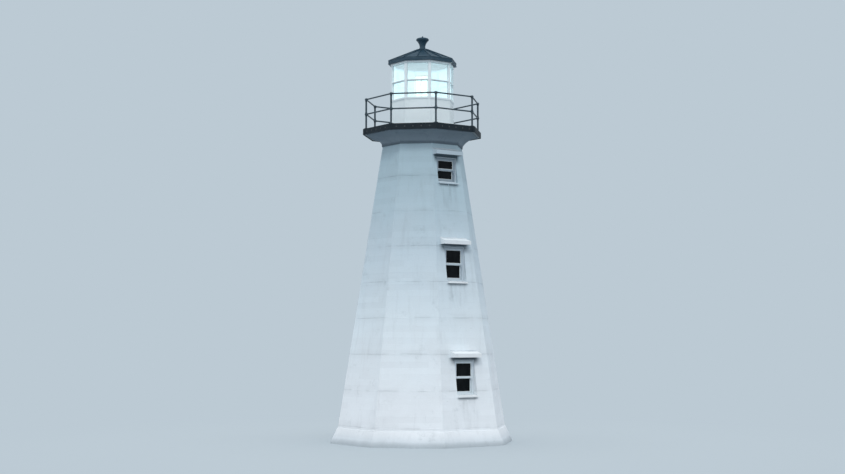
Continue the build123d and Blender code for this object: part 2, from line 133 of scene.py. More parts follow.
deck_apothem, band_foot, deck_top = extent("gallery_edge_band")
wall_apothem, _, lantern_foot_top = extent("lantern_wall")
glazing_apothem, glazing_foot, glazing_head = extent("glazing_frame")
glass_apothem = extent("lantern_glass")[0]
eave_apothem, eave_foot, eave_top = extent("lantern_eave")
crown_level = extent("lantern_roof")[2]
vent_top = extent("ventilator")[2]
flange = seen_from("front_railing", 0)
flange = flange[flange[:, 2] < deck_top + 0.02]
rail_apothem = (flange[:, 1].min() + flange[:, 1].max()) / 2
print("batter", round(BATTER, 4), "deck", round(deck_top, 3), "rail stands at", round(rail_apothem, 3))

# %% [markdown]
# The windows are found the same way. The frames give each window's side, front and levels,
# and the panes are the two boxes of glass that lie inside each frame.

# %% Find the windows and their panes
windows = []
for node, side in (
    ("lower_window_frame", WINDOW_SIDE), ("middle_window_frame", WINDOW_SIDE),
    ("upper_window_frame", WINDOW_SIDE), ("back_window_frames", DOOR_SIDE),
):
    points = seen_from(node, side)
    middle = (points[:, 2].min() + points[:, 2].max()) / 2
    tall = np.ptp(points[:, 2]) > 1.5
    for part in ([points[points[:, 2] < middle], points[points[:, 2] > middle]] if tall else [points]):
        windows.append({"side": side, "low": part.min(0), "high": part.max(0)})
glass = {side: seen_from("window_glass", side) for side in (WINDOW_SIDE, DOOR_SIDE)}
for w in windows:
    inside = glass[w["side"]]
    inside = inside[np.all((inside > w["low"] - 1e-3) & (inside < w["high"] + 1e-3), axis=1)]
    split = inside[:, 1].mean()
    w["panes"] = [(p.min(0), p.max(0)) for p in (inside[inside[:, 1] > split], inside[inside[:, 1] < split])]
SILL_DROP = 0.06
HOOD_GAP, HOOD_HEIGHT, HOOD_HALF = 0.065, 0.155, 0.415
surround = seen_from("door_surround", DOOR_SIDE)
print(len(windows), "windows with heads at", [round(w["high"][2], 2) for w in windows])

# %% [markdown]
# ## Three ways to make a surface
# Every new piece is a grid of points worked out with numpy and joined into faces. Three kinds
# of grid cover the whole building: a turned shape, a bar with a constant section, and a ring
# that runs round the eight sides. Each makes many copies at once, as arrays, so a hundred
# rivets cost no more lines than one.

# %% Grid, turned shape, bar and ring
def grid(points, closed=False):
    """Surface of (copies, rows, columns, 3) points: four neighbours make a face, and the last
    column meets the first. If closed, the last row meets the first too."""
    points = np.asarray(points, float)
    points = points.reshape((-1,) + points.shape[-3:])
    if closed:
        points = np.concatenate([points, points[:, :1]], 1)
    index = np.arange(points[..., 0].size).reshape(points.shape[:3])
    index = np.concatenate([index, index[:, :, :1]], 2)
    faces = np.stack([index[:, :-1, :-1], index[:, :-1, 1:], index[:, 1:, 1:], index[:, 1:, :-1]], -1)
    return points.reshape(-1, 3), faces.reshape(-1, 4)


def unit(vectors):
    """Vectors scaled to length one."""
    return vectors / np.linalg.norm(vectors, axis=-1, keepdims=True)


def turned(profile, origins, axes=(0, 0, 1), segments=16):
    """Turned shapes: origin + h axis + r (cos q e1 + sin q e2), for each (r, h) of the profile
    and each angle q, where e1 and e2 stand square to the axis."""
    origins, axes = np.broadcast_arrays(np.atleast_2d(origins).astype(float), np.atleast_2d(axes).astype(float))
    helper = np.where(np.abs(axes[:, 2:]) < 0.9, [[0.0, 0, 1]], [[1.0, 0, 0]])
    e1 = unit(np.cross(helper, axes))
    e2 = np.cross(axes, e1)
    q = 2 * np.pi * np.arange(segments) / segments
    spokes = np.cos(q)[:, None] * e1[:, None] + np.sin(q)[:, None] * e2[:, None]
    r, h = np.asarray(profile, float).T
    points = origins[:, None, None] + h[:, None, None] * axes[:, None, None]
    return grid(points + r[:, None, None] * spokes[:, None])


def bars(starts, ends, across, profile, ease=0.0, shrink=0.75):
    """Bars: start + t (end - start) + x across + y up, for each (x, y) of the profile, where up
    is the bar's direction crossed with across. The profile shrinks at both ends, to ease them."""
    starts, ends, across = np.broadcast_arrays(*(np.atleast_2d(v).astype(float) for v in (starts, ends, across)))
    length = np.linalg.norm(ends - starts, axis=1)[:, None]
    along = (ends - starts) / length
    up = np.cross(along, across)
    x, y = np.asarray(profile, float).T
    section = x[:, None] * across[:, None] + y[:, None] * up[:, None]
    reach = length * 0 + [0, 1, -1, 0] * np.array(ease) + length * [0, 0, 1, 1]
    scale = np.array([shrink, 1, 1, shrink] if ease else [1, 1, 1, 1])
    if not ease:
        reach, scale = reach[:, [0, 3]], scale[:2]
    centres = starts[:, None] + reach[:, :, None] * along[:, None]
    return grid(centres[:, :, None] + scale[:, None, None] * section[:, None])


def ring(profile, steps=1, wobble=None):
    """Ring round the eight sides: each (apothem, level) of the profile stands out by its
    apothem, and runs across from corner to corner as share * apothem * tan(half turn)."""
    share = np.tile(np.linspace(-1, 1, steps + 1)[:-1], SIDES)[:, None]
    side = np.repeat(ALL_SIDES, steps)[:, None]
    apothem, level = (v[None] for v in np.asarray(profile, float).T)
    if wobble is not None:
        apothem = apothem + wobble
    return grid(on_side(side, share * apothem * HALF_TAN, apothem, level), closed=True)


def frame_ring(side, low, high, profile):
    """Ring inside an upright rectangle on a side: each (inset, out) of the profile runs round
    the four edges, moved in from them by its inset."""
    inset, out = np.asarray(profile, float).T
    across = np.array([-1, 1, 1, -1])[:, None] * ((high[0] - low[0]) / 2 - inset)
    up = np.stack([low[2] + inset, low[2] + inset, high[2] - inset, high[2] - inset])
    return grid(on_side(side, across + (low[0] + high[0]) / 2, out, up), closed=True)


# %% [markdown]
# ## Sections
# A section is a closed loop of a few points. A circle, a rectangle with rounded corners and
# a folded strip for corners are enough. A wandering line, a sum of a few sines with random
# phases, gives mortar and old paint their uneven edges.

# %% Sections and a wandering line
def circle(radius, count=12):
    """Points at equal angles on a circle."""
    q = 2 * np.pi * np.arange(count) / count
    return radius * np.stack([np.cos(q), np.sin(q)], 1)


def rounded(width, height, radius, count=3):
    """Rectangle whose corners are quarter circles."""
    q = np.linspace(0, np.pi / 2, count)
    corner = radius * np.stack([np.cos(q), np.sin(q)], 1) + [width / 2 - radius, height / 2 - radius]
    flip = [(1, 1), (-1, 1), (-1, -1), (1, -1)]
    return np.concatenate([(corner if k % 2 == 0 else corner[::-1]) * flip[k] for k in range(4)])


def fold(wing, thickness):
    """Strip folded round the tower's blunt corner, seen from above: x across, y out."""
    c, s = math.cos(TURN / 2), math.sin(TURN / 2)
    reach = wing * np.array([-1, -0.06, 0.06, 1])
    outer = np.stack([reach * c, -np.abs(reach) * s + thickness * TO_CORNER], 1)
    inner = np.array([(wing * c, -wing * s), (0, 0), (-wing * c, -wing * s)]) - [0, 0.004 * TO_CORNER]
    return np.concatenate([outer, inner])


def wander(t, scale, rng, terms=5):
    """Smooth random line between 0 and 1: a sum of sines whose waves get shorter."""
    waves = sum(
        np.sin(t * 2 * np.pi / scale * 1.7**k + rng.uniform(0, 2 * np.pi)) / 1.5**k for k in range(terms)
    )
    return np.clip(0.5 + waves / 3.2, 0, 1)


def dome(radius, height, rows=4):
    """Profile of a low dome on a short skirt, for rivets, screws and the keyhole plate."""
    q = np.linspace(0, np.pi / 2, rows)
    return np.concatenate([np.stack([radius * np.sin(q), height * np.cos(q)], 1), [(radius, -0.003), (0, -0.003)]])


def bolt_head(radius, height):
    """Profile of a bolt head with an eased top. Six segments make it a hexagon."""
    return [(0, height), (radius * 0.85, height), (radius, height * 0.75), (radius, -0.002), (0, -0.002)]


rng = np.random.default_rng(35)
print("a dome has", len(dome(0.01, 0.005)), "points in its profile")

# %% [markdown]
# ## From surfaces to a piece
# One function turns a list of surfaces into a Blender object. It welds the seams, fills the
# open ends, turns every face outwards, keeps corners sharp, and says what the piece rides on
# and which finish it belongs to.

# %% Make a piece
def piece(name, surfaces, finish, stands_for=(), sharp=35):
    """Joins the surfaces into one object at the origin, and hands it to the frame."""
    sizes = np.cumsum([0] + [len(points) for points, _ in surfaces])
    mesh = bpy.data.meshes.new(name)
    mesh.from_pydata(
        np.concatenate([points for points, _ in surfaces]).tolist(), [],
        np.concatenate([faces + start for (_, faces), start in zip(surfaces, sizes)]).tolist(),
    )
    work = bmesh.new()
    work.from_mesh(mesh)
    bmesh.ops.remove_doubles(work, verts=work.verts, dist=1e-5)
    bmesh.ops.holes_fill(work, edges=[e for e in work.edges if e.is_boundary], sides=0)
    bmesh.ops.recalc_face_normals(work, faces=work.faces)
    work.to_mesh(mesh)
    triangles = len(work.calc_loop_triangles())
    work.free()
    mesh.shade_smooth()
    mesh.set_sharp_from_angle(angle=math.radians(sharp))
    mesh.materials.append(finish)
    made = bpy.data.objects.new(name, mesh)
    bpy.context.scene.collection.objects.link(made)
    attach(made, "root")
    if stands_for:
        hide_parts(*stands_for)
    print(f"{name}: {triangles} triangles")
    return made


# %% [markdown]
# ## Writing materials in short lines
# A node tree gets long if each node takes four lines. This small helper adds a node, sets its
# values, links what is a socket, and hands back the output, so that a material reads like a
# sum.

# %% A helper for node trees
def srgb(red, green, blue):
    """Linear colour of a screen colour with parts from 0 to 255."""
    parts = np.array([red, green, blue]) / 255
    linear = np.where(parts <= 0.04045, parts / 12.92, ((parts + 0.055) / 1.055) ** 2.4)
    return (*linear.tolist(), 1.0)


class Tree:
    """Adds nodes to one tree and links them."""

    def __init__(self, tree):
        self.tree = tree

    def put(self, socket, value):
        if isinstance(value, bpy.types.NodeSocket):
            self.tree.links.new(value, socket)
        else:
            socket.default_value = value

    def node(self, kind, values=(), **settings):
        made = self.tree.nodes.new("ShaderNode" + kind)
        for key, value in settings.items():
            setattr(made, key, value)
        for key, value in dict(values).items():
            self.put(made.inputs[key], value)
        return made

    def math(self, operation, a, b=0.0, clamp=False):
        return self.node("Math", {0: a, 1: b}, operation=operation, use_clamp=clamp).outputs[0]

    def ease(self, value, low, high, start=0.0, end=1.0):
        values = {"Value": value, "From Min": low, "From Max": high, "To Min": start, "To Max": end}
        return self.node("MapRange", values, interpolation_type="SMOOTHSTEP").outputs[0]

    def mix(self, share, a, b, blend="MIX"):
        made = self.node("Mix", {0: share, 6: a, 7: b}, data_type="RGBA", blend_type=blend)
        return made.outputs[2]

    def stretch(self, vector, scale):
        return self.node("VectorMath", {0: vector, 1: scale}, operation="MULTIPLY").outputs[0]

    def noise(self, vector, scale, detail=3.0, rough=0.5):
        values = {"Vector": vector, "Scale": scale, "Detail": detail, "Roughness": rough}
        return self.node("TexNoise", values).outputs["Fac"]

    def bump(self, height, distance, strength=1.0, normal=None):
        values = {"Height": height, "Distance": distance, "Strength": strength}
        if normal is not None:
            values["Normal"] = normal
        return self.node("Bump", values).outputs[0]


def group(name, inputs, outputs, build):
    """Shader node group with named sockets. build(tree, sockets) returns its outputs."""
    tree = bpy.data.node_groups.new(name, "ShaderNodeTree")
    for key, value in inputs.items():
        kind = "Vector" if isinstance(value, tuple) else "Float"
        socket = tree.interface.new_socket(key, in_out="INPUT", socket_type="NodeSocket" + kind)
        if kind == "Float":
            socket.default_value = value
    for key in outputs:
        tree.interface.new_socket(key, in_out="OUTPUT", socket_type="NodeSocketFloat")
    entry, leave = tree.nodes.new("NodeGroupInput"), tree.nodes.new("NodeGroupOutput")
    made = build(Tree(tree), {key: entry.outputs[key] for key in inputs})
    for key, socket in zip(outputs, made):
        tree.links.new(socket, leave.inputs[key])
    print("group", name, "gives", ", ".join(outputs))
    return tree


def use(tree, shared, **values):
    """Places a shared group in a tree, with its own values, and gives its outputs by name."""
    made = tree.node("Group", node_tree=shared)
    for key, value in values.items():
        tree.put(made.inputs[key.replace("_", " ")], value)
    return {socket.name: socket for socket in made.outputs}


# %% [markdown]
# ## Effects that many finishes share
# Real wear follows the object. Form boards run level round each side, each day's pour of
# concrete ends in a level line, rain streaks run down, and below ledges the paint carries
# stain runs and a painted shade. All of these need the same across, out and level values that
# the pieces use, so the first group folds the eight sides onto one. The others build on it.

# %% Group: which side, how far across, how high
def fold_sides(t, s):
    xyz = t.node("SeparateXYZ", {0: s["Place"]})
    x, y, level = xyz.outputs
    angle = t.math("ARCTAN2", x, t.math("MULTIPLY", y, -1.0))
    side = t.math("ROUND", t.math("DIVIDE", angle, TURN))
    rest = t.math("SUBTRACT", angle, t.math("MULTIPLY", side, TURN))
    radius = t.math("SQRT", t.math("ADD", t.math("MULTIPLY", x, x), t.math("MULTIPLY", y, y)))
    across = t.math("MULTIPLY", radius, t.math("SINE", rest))
    out = t.math("MULTIPLY", radius, t.math("COSINE", rest))
    to_corner = t.math("SUBTRACT", t.math("MULTIPLY", out, HALF_TAN), t.math("ABSOLUTE", across))
    return across, out, level, to_corner, side


tower_place = group(
    "tower_place", {"Place": (0, 0, 0)}, ("Across", "Out", "Level", "To Corner", "Side"), fold_sides
)


# %% Groups: form boards, pour lines, streaks, and marks below ledges: stain runs and painted shade
def mark_boards(t, s):
    spot = t.node("CombineXYZ", {0: s["Across"], 1: t.math("MULTIPLY", s["Side"], 9.0), 2: s["Level"]}).outputs[0]
    row = t.math("DIVIDE", s["Level"], s["Board"])
    part = t.math("FRACT", row)
    edge = t.math("MULTIPLY", t.math("MINIMUM", part, t.math("SUBTRACT", 1.0, part)), s["Board"])
    filled = t.ease(t.noise(spot, 1.7, 3.0, 0.6), 0.42, 0.62, 0.12, 1.0)
    joint = t.math("MULTIPLY", t.ease(edge, 0.001, 0.006, 1.0, 0.0), filled)
    end = t.math("FLOOR", t.math("ADD", t.math("DIVIDE", s["Across"], 2.4), t.math("MULTIPLY", t.math("FLOOR", row), 0.37)))
    key = t.node("CombineXYZ", {0: t.math("FLOOR", row), 1: s["Side"], 2: end}).outputs[0]
    tone = t.node("TexWhiteNoise", {"Vector": key}, noise_dimensions="3D").outputs["Value"]
    return tone, joint, t.noise(t.stretch(spot, (1.0, 1.0, 22.0)), 2.2, 4.0, 0.6)


def mark_lifts(t, s):
    drift = t.math("MULTIPLY", t.math("SUBTRACT", t.noise(s["Place"], 1.1, 3.0), 0.5), 0.05)
    level = t.math("ADD", s["Level"], drift)
    row = t.math("ADD", t.math("DIVIDE", t.math("SUBTRACT", level, s["First"]), s["Spacing"]), 0.5)
    away = t.math("MULTIPLY", t.math("ABSOLUTE", t.math("SUBTRACT", t.math("FRACT", row), 0.5)), s["Spacing"])
    patchy = t.ease(t.noise(s["Place"], 2.3, 2.0), 0.36, 0.62)
    line = t.math("MULTIPLY", t.ease(away, 0.004, 0.022, 1.0, 0.0), patchy)
    halo = t.math("MULTIPLY", t.ease(away, 0.02, 0.16, 1.0, 0.0), patchy)
    return line, halo


def mark_weather(t, s):
    broad = t.noise(s["Place"], s["Scale"], 5.0, 0.6)
    tall = t.noise(t.stretch(s["Place"], (7.0, 7.0, 0.35)), s["Scale"], 4.0, 0.6)
    fine = t.noise(s["Place"], t.math("MULTIPLY", s["Scale"], 45.0), 4.0, 0.65)
    return broad, t.ease(tall, 0.5, 0.78), fine


# Mask below a ledge: broken stain runs when Even is 0, and an even band of painted shade when Even is 1.
def mark_stain_and_shade(t, s):
    drop = t.math("SUBTRACT", s["Source"], s["Level"])
    fade = t.math("MULTIPLY", t.ease(drop, -0.004, 0.012), t.ease(drop, 0.0, s["Length"], 1.0, 0.0))
    off = t.math("ABSOLUTE", s["Across"])
    limit = t.ease(off, t.math("MULTIPLY", s["Half Width"], 0.7), t.math("MULTIPLY", s["Half Width"], 1.15), 1.0, 0.0)
    runs = t.noise(t.stretch(s["Place"], (1.0, 1.0, 0.05)), 11.0, 2.0, 0.6)
    broken = t.ease(t.noise(s["Place"], 3.0, 2.0), 0.3, 0.7, 0.35, 1.0)
    runs = t.math("MAXIMUM", t.math("MULTIPLY", t.ease(runs, 0.3, 0.8), broken), s["Even"])
    return (t.math("MULTIPLY", t.math("MULTIPLY", fade, limit), runs),)


form_boards = group("form_boards", {"Across": 0.0, "Level": 0.0, "Side": 0.0, "Board": 0.15}, ("Tone", "Joint", "Grain"), mark_boards)
pour_lines = group("pour_lines", {"Place": (0, 0, 0), "Level": 0.0, "First": 0.46, "Spacing": 0.914}, ("Line", "Halo"), mark_lifts)
weather = group("weather", {"Place": (0, 0, 0), "Scale": 1.0}, ("Broad", "Streaks", "Fine"), mark_weather)
stain_and_shade_below = group(
    "stain_and_shade_below",
    {"Place": (0, 0, 0), "Across": 0.0, "Level": 0.0, "Source": 0.0, "Half Width": 0.3, "Length": 0.8, "Even": 0.0},
    ("Stain And Shade",), mark_stain_and_shade,
)


# %% [markdown]
# Paint on iron fails in its own way: it chips in small islands, rust blooms round each chip,
# and the surface keeps faint brush marks. That makes one more group, used by the rails, the
# lantern, the roof and the door.

# %% Group: brushed paint with chips and rust
def mark_paint(t, s):
    islands = t.noise(s["Place"], s["Scale"], 5.0, 0.62)
    chip = t.ease(islands, t.math("SUBTRACT", 0.74, s["Wear"]), t.math("SUBTRACT", 0.77, s["Wear"]))
    bloom = t.ease(islands, t.math("SUBTRACT", 0.62, s["Wear"]), t.math("SUBTRACT", 0.80, s["Wear"]))
    brush = t.noise(t.stretch(s["Place"], (9.0, 9.0, 1.0)), t.math("MULTIPLY", s["Scale"], 1.4), 3.0, 0.6)
    return chip, bloom, brush


worn_paint = group("worn_paint", {"Place": (0, 0, 0), "Scale": 9.0, "Wear": 0.0}, ("Chip", "Bloom", "Brush"), mark_paint)


# %% [markdown]
# ## Finishes
# Each finish is a material with its own Principled shader. A starter function makes the shader
# and the object coordinates, which are metres here because every object sits at the origin.

# %% Start a material
def start(name, **constants):
    """New material: its tree, its shader, and its place in metres. Constants such as ior=1.5
    are set on the shader's own sockets."""
    made = bpy.data.materials.new(name)
    made.use_nodes = True
    tree = Tree(made.node_tree)
    shader = made.node_tree.nodes["Principled BSDF"]
    names = {"metallic": "Metallic", "roughness": "Roughness", "ior": "IOR", "transmission": "Transmission Weight",
             "coat": "Coat Weight", "glow": "Emission Strength", "specular": "Specular IOR Level", "color": "Base Color",
             "glow_color": "Emission Color", "coat_roughness": "Coat Roughness"}
    for key, value in constants.items():
        shader.inputs[names[key]].default_value = value
    place = tree.node("TexCoord").outputs["Object"]
    return made, tree, shader, place


# %% [markdown]
# ### Painted concrete
# The tower is concrete poured in lifts of about three feet behind level boards, then painted
# white again and again. Up close it shows board edges and small pits. From afar it shows the
# pour lines, streaks, and a slow change of tone: nearly white at the foot, and darker and bluer
# towards the gallery, a painted shade that is deepest under the gallery. The same recipe makes
# the plinth, the cove and the dressings, with other tones.

# %% Finish: painted concrete
LIFT, FIRST_LIFT = 0.914, 0.46


def by_level(t, level, broad, tones):
    """Colour that changes with the level through (level, colour) tones, with an uneven front."""
    low, high = tones[0][0], tones[-1][0]
    uneven = t.math("MULTIPLY", t.math("SUBTRACT", broad, 0.5), 0.22 * (high - low))
    ramp = t.node("ValToRGB", {0: t.ease(t.math("ADD", level, uneven), low, high)})
    for k, (stop_level, colour) in enumerate(tones):
        share = (stop_level - low) / (high - low)
        stop = ramp.color_ramp.elements[k] if k < 2 else ramp.color_ramp.elements.new(share)
        stop.position, stop.color = share, colour
    return ramp.outputs[0]


def stained_and_shaded(t, place, at, colour, stains_and_shade):
    """Colour with the marks below ledges over it: stain runs and even bands of painted shade. A
    mark is (level, half width, length, evenness, strength)."""
    for source, half, length, even, strength in stains_and_shade:
        mark = use(
            t, stain_and_shade_below, Place=place, Across=at["Across"], Level=at["Level"],
            Source=source, Half_Width=half, Length=length, Even=even,
        )
        # One slate grey serves both the stain runs and the painted shade below ledges.
        colour = t.mix(t.math("MULTIPLY", mark["Stain And Shade"], strength), colour, srgb(76, 91, 99))
    return colour


def painted_concrete(name, tones, dirt=0.35, stains_and_shade=(), board=0.15, lifts=1.0, streaks=0.5, under=0.0):
    """White masonry paint on board-marked concrete. tones are (level, colour) pairs, and under is
    the strength of a painted shade on the faces that look down."""
    made, t, shader, place = start(name, specular=0.25)
    at = use(t, tower_place, Place=place)
    boards = use(t, form_boards, Across=at["Across"], Level=at["Level"], Side=at["Side"], Board=board)
    pour = use(t, pour_lines, Place=place, Level=at["Level"], First=FIRST_LIFT, Spacing=LIFT)
    sky = use(t, weather, Place=place, Scale=0.9)
    colour = by_level(t, at["Level"], sky["Broad"], tones)
    tone = t.math("ADD", t.math("MULTIPLY", boards["Tone"], 0.045), t.math("MULTIPLY", sky["Broad"], 0.24))
    tone = t.math("ADD", tone, 0.865)
    tone = t.math("SUBTRACT", tone, t.math("MULTIPLY", boards["Joint"], 0.03))
    tone = t.math("SUBTRACT", tone, t.math("MULTIPLY", pour["Line"], 0.10 * lifts))
    tone = t.math("SUBTRACT", tone, t.math("MULTIPLY", pour["Halo"], 0.045 * lifts))
    tone = t.math("SUBTRACT", tone, t.math("MULTIPLY", sky["Streaks"], 0.15 * streaks))
    tone = t.math("ADD", tone, t.math("MULTIPLY", t.math("SUBTRACT", sky["Fine"], 0.5), 0.10))
    grey = t.node("CombineColor", {0: tone, 1: tone, 2: tone}).outputs[0]
    colour = t.mix(1.0, colour, grey, "MULTIPLY")
    mould = t.ease(t.noise(place, 2.6, 7.0, 0.75), 0.55, 0.82)
    colour = t.mix(t.math("MULTIPLY", mould, dirt), colour, srgb(132, 148, 152))
    colour = stained_and_shaded(t, place, at, colour, stains_and_shade)
    # Painted shade: faces that look down are darkened towards slate grey.
    if under:
        facing = t.node("SeparateXYZ", {0: t.node("NewGeometry").outputs["Normal"]}).outputs[2]
        colour = t.mix(t.ease(facing, -0.7, -0.2, under, 0.0), colour, srgb(62, 77, 86))
    t.put(shader.inputs["Base Color"], colour)
    t.put(shader.inputs["Roughness"], t.ease(sky["Broad"], 0.2, 0.8, 0.72, 0.93))
    pits = t.node("TexVoronoi", {"Vector": place, "Scale": 38.0}).outputs["Distance"]
    height = t.math("ADD", t.math("MULTIPLY", boards["Grain"], 0.3), t.math("MULTIPLY", t.ease(pits, 0.08, 0.2), 0.3))
    height = t.math("ADD", height, t.math("MULTIPLY", boards["Tone"], 0.3))
    height = t.math("SUBTRACT", height, t.math("MULTIPLY", boards["Joint"], 0.2))
    height = t.math("SUBTRACT", height, t.math("MULTIPLY", pour["Line"], 0.8))
    height = t.math("ADD", height, t.math("MULTIPLY", sky["Fine"], 0.3))
    t.put(shader.inputs["Normal"], t.bump(height, 0.006, 0.6))
    return made


# Painted shade: these tones darken from the foot up to the gallery.
shaft_shade_tones = ((0.3, srgb(240, 245, 249)), (2.6, srgb(226, 237, 243)), (5.4, srgb(200, 215, 224)), (7.7, srgb(174, 196, 206)))


def ledge_stains_and_shade(side):
    """Marks on one side: stain runs below each sill, and painted shadow below each sill and hood."""
    sills = [w["low"][2] - SILL_DROP for w in windows if w["side"] == side]
    hoods = [w["high"][2] + HOOD_GAP for w in windows if w["side"] == side]
    marks = [(level, 0.30, 1.1, 0.0, 0.29) for level in sills]
    # Painted shadow: an even dark line under each sill and an even dark band under each hood.
    marks += [(level, 0.32, 0.10, 1.0, 0.6) for level in sills]
    return marks + [(level, HOOD_HALF * 1.1, 0.26, 1.0, 0.95) for level in hoods]


shaft_paint = painted_concrete("shaft_paint", shaft_shade_tones)
window_wall_paint = painted_concrete("window_wall_paint", shaft_shade_tones, stains_and_shade=ledge_stains_and_shade(WINDOW_SIDE))
door_wall_paint = painted_concrete("door_wall_paint", shaft_shade_tones, stains_and_shade=ledge_stains_and_shade(DOOR_SIDE))
plinth_tones = ((0.0, srgb(178, 188, 194)), (0.13, srgb(218, 226, 232)), (0.38, srgb(236, 241, 245)))
plinth_paint = painted_concrete("plinth_paint", plinth_tones, dirt=0.5, lifts=0.0, board=0.19)
# Painted shade: the dressings darken towards the gallery, as the shaft does.
dressing_shade_tones = ((0.0, srgb(240, 245, 247)), (5.4, srgb(238, 244, 247)), (7.6, srgb(186, 203, 213)))
# under=0.85 paints shade on the undersides of the hoods, sills and door surround.
dressing_paint = painted_concrete("dressing_paint", dressing_shade_tones, dirt=0.22, lifts=0.0, board=0.5, under=0.85)
# Painted shade: the cove is darkened for the shade under the gallery, most at its foot.
cove_shade_tones = ((neck, srgb(96, 110, 120)), (neck + 0.05, srgb(136, 150, 160)), (neck + 0.32, srgb(134, 146, 154)))
cove_paint = painted_concrete("cove_paint", cove_shade_tones, dirt=0.8, lifts=0.0, board=0.08, streaks=1.4)

# %% [markdown]
# ### Bare concrete
# The gallery floor and the floors inside are trowelled, never painted, and polished where
# people tread. A cement grey with darker aggregate specks and hairline cracks draws it; the
# roughness varies in broad clouds, not where people tread.

# %% Finish: trowelled concrete
def trowelled(name, light, dark):
    """Floor concrete: broad clouds, aggregate specks, and thin cracks along cell borders."""
    made, t, shader, place = start(name, specular=0.3)
    sky = use(t, weather, Place=place, Scale=1.7)
    colour = t.mix(t.ease(sky["Broad"], 0.3, 0.7), dark, light)
    specks = t.node("TexVoronoi", {"Vector": place, "Scale": 85.0}).outputs["Distance"]
    colour = t.mix(t.ease(specks, 0.05, 0.16, 0.45, 0.0), colour, srgb(58, 66, 70))
    push = t.stretch(t.node("TexNoise", {"Vector": place, "Scale": 2.6, "Detail": 4.0}).outputs["Color"], (0.5, 0.5, 0.5))
    bent = t.node("VectorMath", {0: place, 1: push}, operation="ADD").outputs[0]
    crack = t.node("TexVoronoi", {"Vector": bent, "Scale": 0.9}, feature="DISTANCE_TO_EDGE").outputs["Distance"]
    thin = t.math("MULTIPLY", t.ease(crack, 0.0, 0.004, 1.0, 0.0), t.ease(t.noise(place, 1.3, 2.0), 0.5, 0.62))
    t.put(shader.inputs["Base Color"], t.mix(t.math("MULTIPLY", thin, 0.6), colour, srgb(48, 54, 57)))
    t.put(shader.inputs["Roughness"], t.ease(sky["Broad"], 0.3, 0.7, 0.6, 0.88))
    height = t.math("SUBTRACT", t.math("MULTIPLY", sky["Fine"], 0.4), thin)
    t.put(shader.inputs["Normal"], t.bump(height, 0.003, 0.7))
    return made


deck_concrete = trowelled("deck_concrete", srgb(168, 176, 178), srgb(132, 142, 146))
room_concrete = trowelled("room_concrete", srgb(120, 124, 124), srgb(88, 94, 96))
mortar = trowelled("mortar", srgb(214, 222, 228), srgb(184, 195, 203))

# %% [markdown]
# ### Painted iron and timber
# The gallery band, the rails and the roof are a dark slate paint. The lantern is white. Both
# get the same three marks: chips down to rust, a bloom of rust round them, and brush marks in
# the gloss. The door and the sashes are the same paint over wood, so their chips show timber.

# %% Finish: worn paint
def paint(name, colour, wear=0.0, under=srgb(96, 62, 44), scale=9.0, gloss=0.42, shade=0.16, chalk=0.0, stains_and_shade=()):
    """Brushed paint over a base that shows where it has chipped. chalk is how much of it has
    turned pale and powdery in patches. A colour may be given as (level, colour) tones, with
    stain runs and bands of painted shade over it."""
    made, t, shader, place = start(name, specular=0.45)
    marks = use(t, worn_paint, Place=place, Scale=scale, Wear=wear)
    sky = use(t, weather, Place=place, Scale=2.2)
    if isinstance(colour[0], tuple):
        at = use(t, tower_place, Place=place)
        colour = stained_and_shaded(t, place, at, by_level(t, at["Level"], sky["Broad"], colour), stains_and_shade)
    tone = t.math("ADD", t.math("MULTIPLY", sky["Broad"], 2 * shade), 1 - shade)
    tone = t.math("SUBTRACT", tone, t.math("MULTIPLY", sky["Streaks"], shade * 0.7))
    grey = t.node("CombineColor", {0: tone, 1: tone, 2: tone}).outputs[0]
    coat = t.mix(1.0, colour, grey, "MULTIPLY")
    powder = t.ease(t.noise(t.stretch(place, (1.0, 1.0, 2.0)), 3.1, 7.0, 0.7), 0.42, 0.74)
    coat = t.mix(t.math("MULTIPLY", powder, chalk), coat, srgb(118, 134, 142))
    coat = t.mix(t.math("MULTIPLY", marks["Bloom"], 0.3), coat, under)
    t.put(shader.inputs["Base Color"], t.mix(marks["Chip"], coat, t.mix(sky["Fine"], under, srgb(60, 44, 38))))
    shine = t.math("ADD", t.math("MULTIPLY", marks["Brush"], 0.16), gloss - 0.08)
    t.put(shader.inputs["Roughness"], t.math("ADD", shine, t.math("MULTIPLY", marks["Chip"], 0.4), clamp=True))
    height = t.math("SUBTRACT", t.math("MULTIPLY", marks["Brush"], 0.35), marks["Chip"])
    t.put(shader.inputs["Normal"], t.bump(height, 0.0012, 0.6))
    return made


band_paint = paint("band_paint", srgb(2, 24, 34), wear=0.015, gloss=0.66, chalk=0.04)
rail_paint = paint("rail_paint", srgb(46, 64, 74), wear=0.04, scale=14.0, chalk=0.15)
roof_paint = paint("roof_paint", srgb(24, 60, 78), wear=0.01, gloss=0.5, shade=0.24, chalk=0.24)
lantern_paint = paint("lantern_paint", srgb(236, 246, 249), wear=0.01, under=srgb(150, 112, 90), gloss=0.3, shade=0.06)
# Painted shade: the window paint darkens towards the gallery, as the shaft does.
window_shade_tones = ((0.9, srgb(220, 230, 236)), (4.6, srgb(196, 209, 218)), (7.4, srgb(146, 162, 173)))
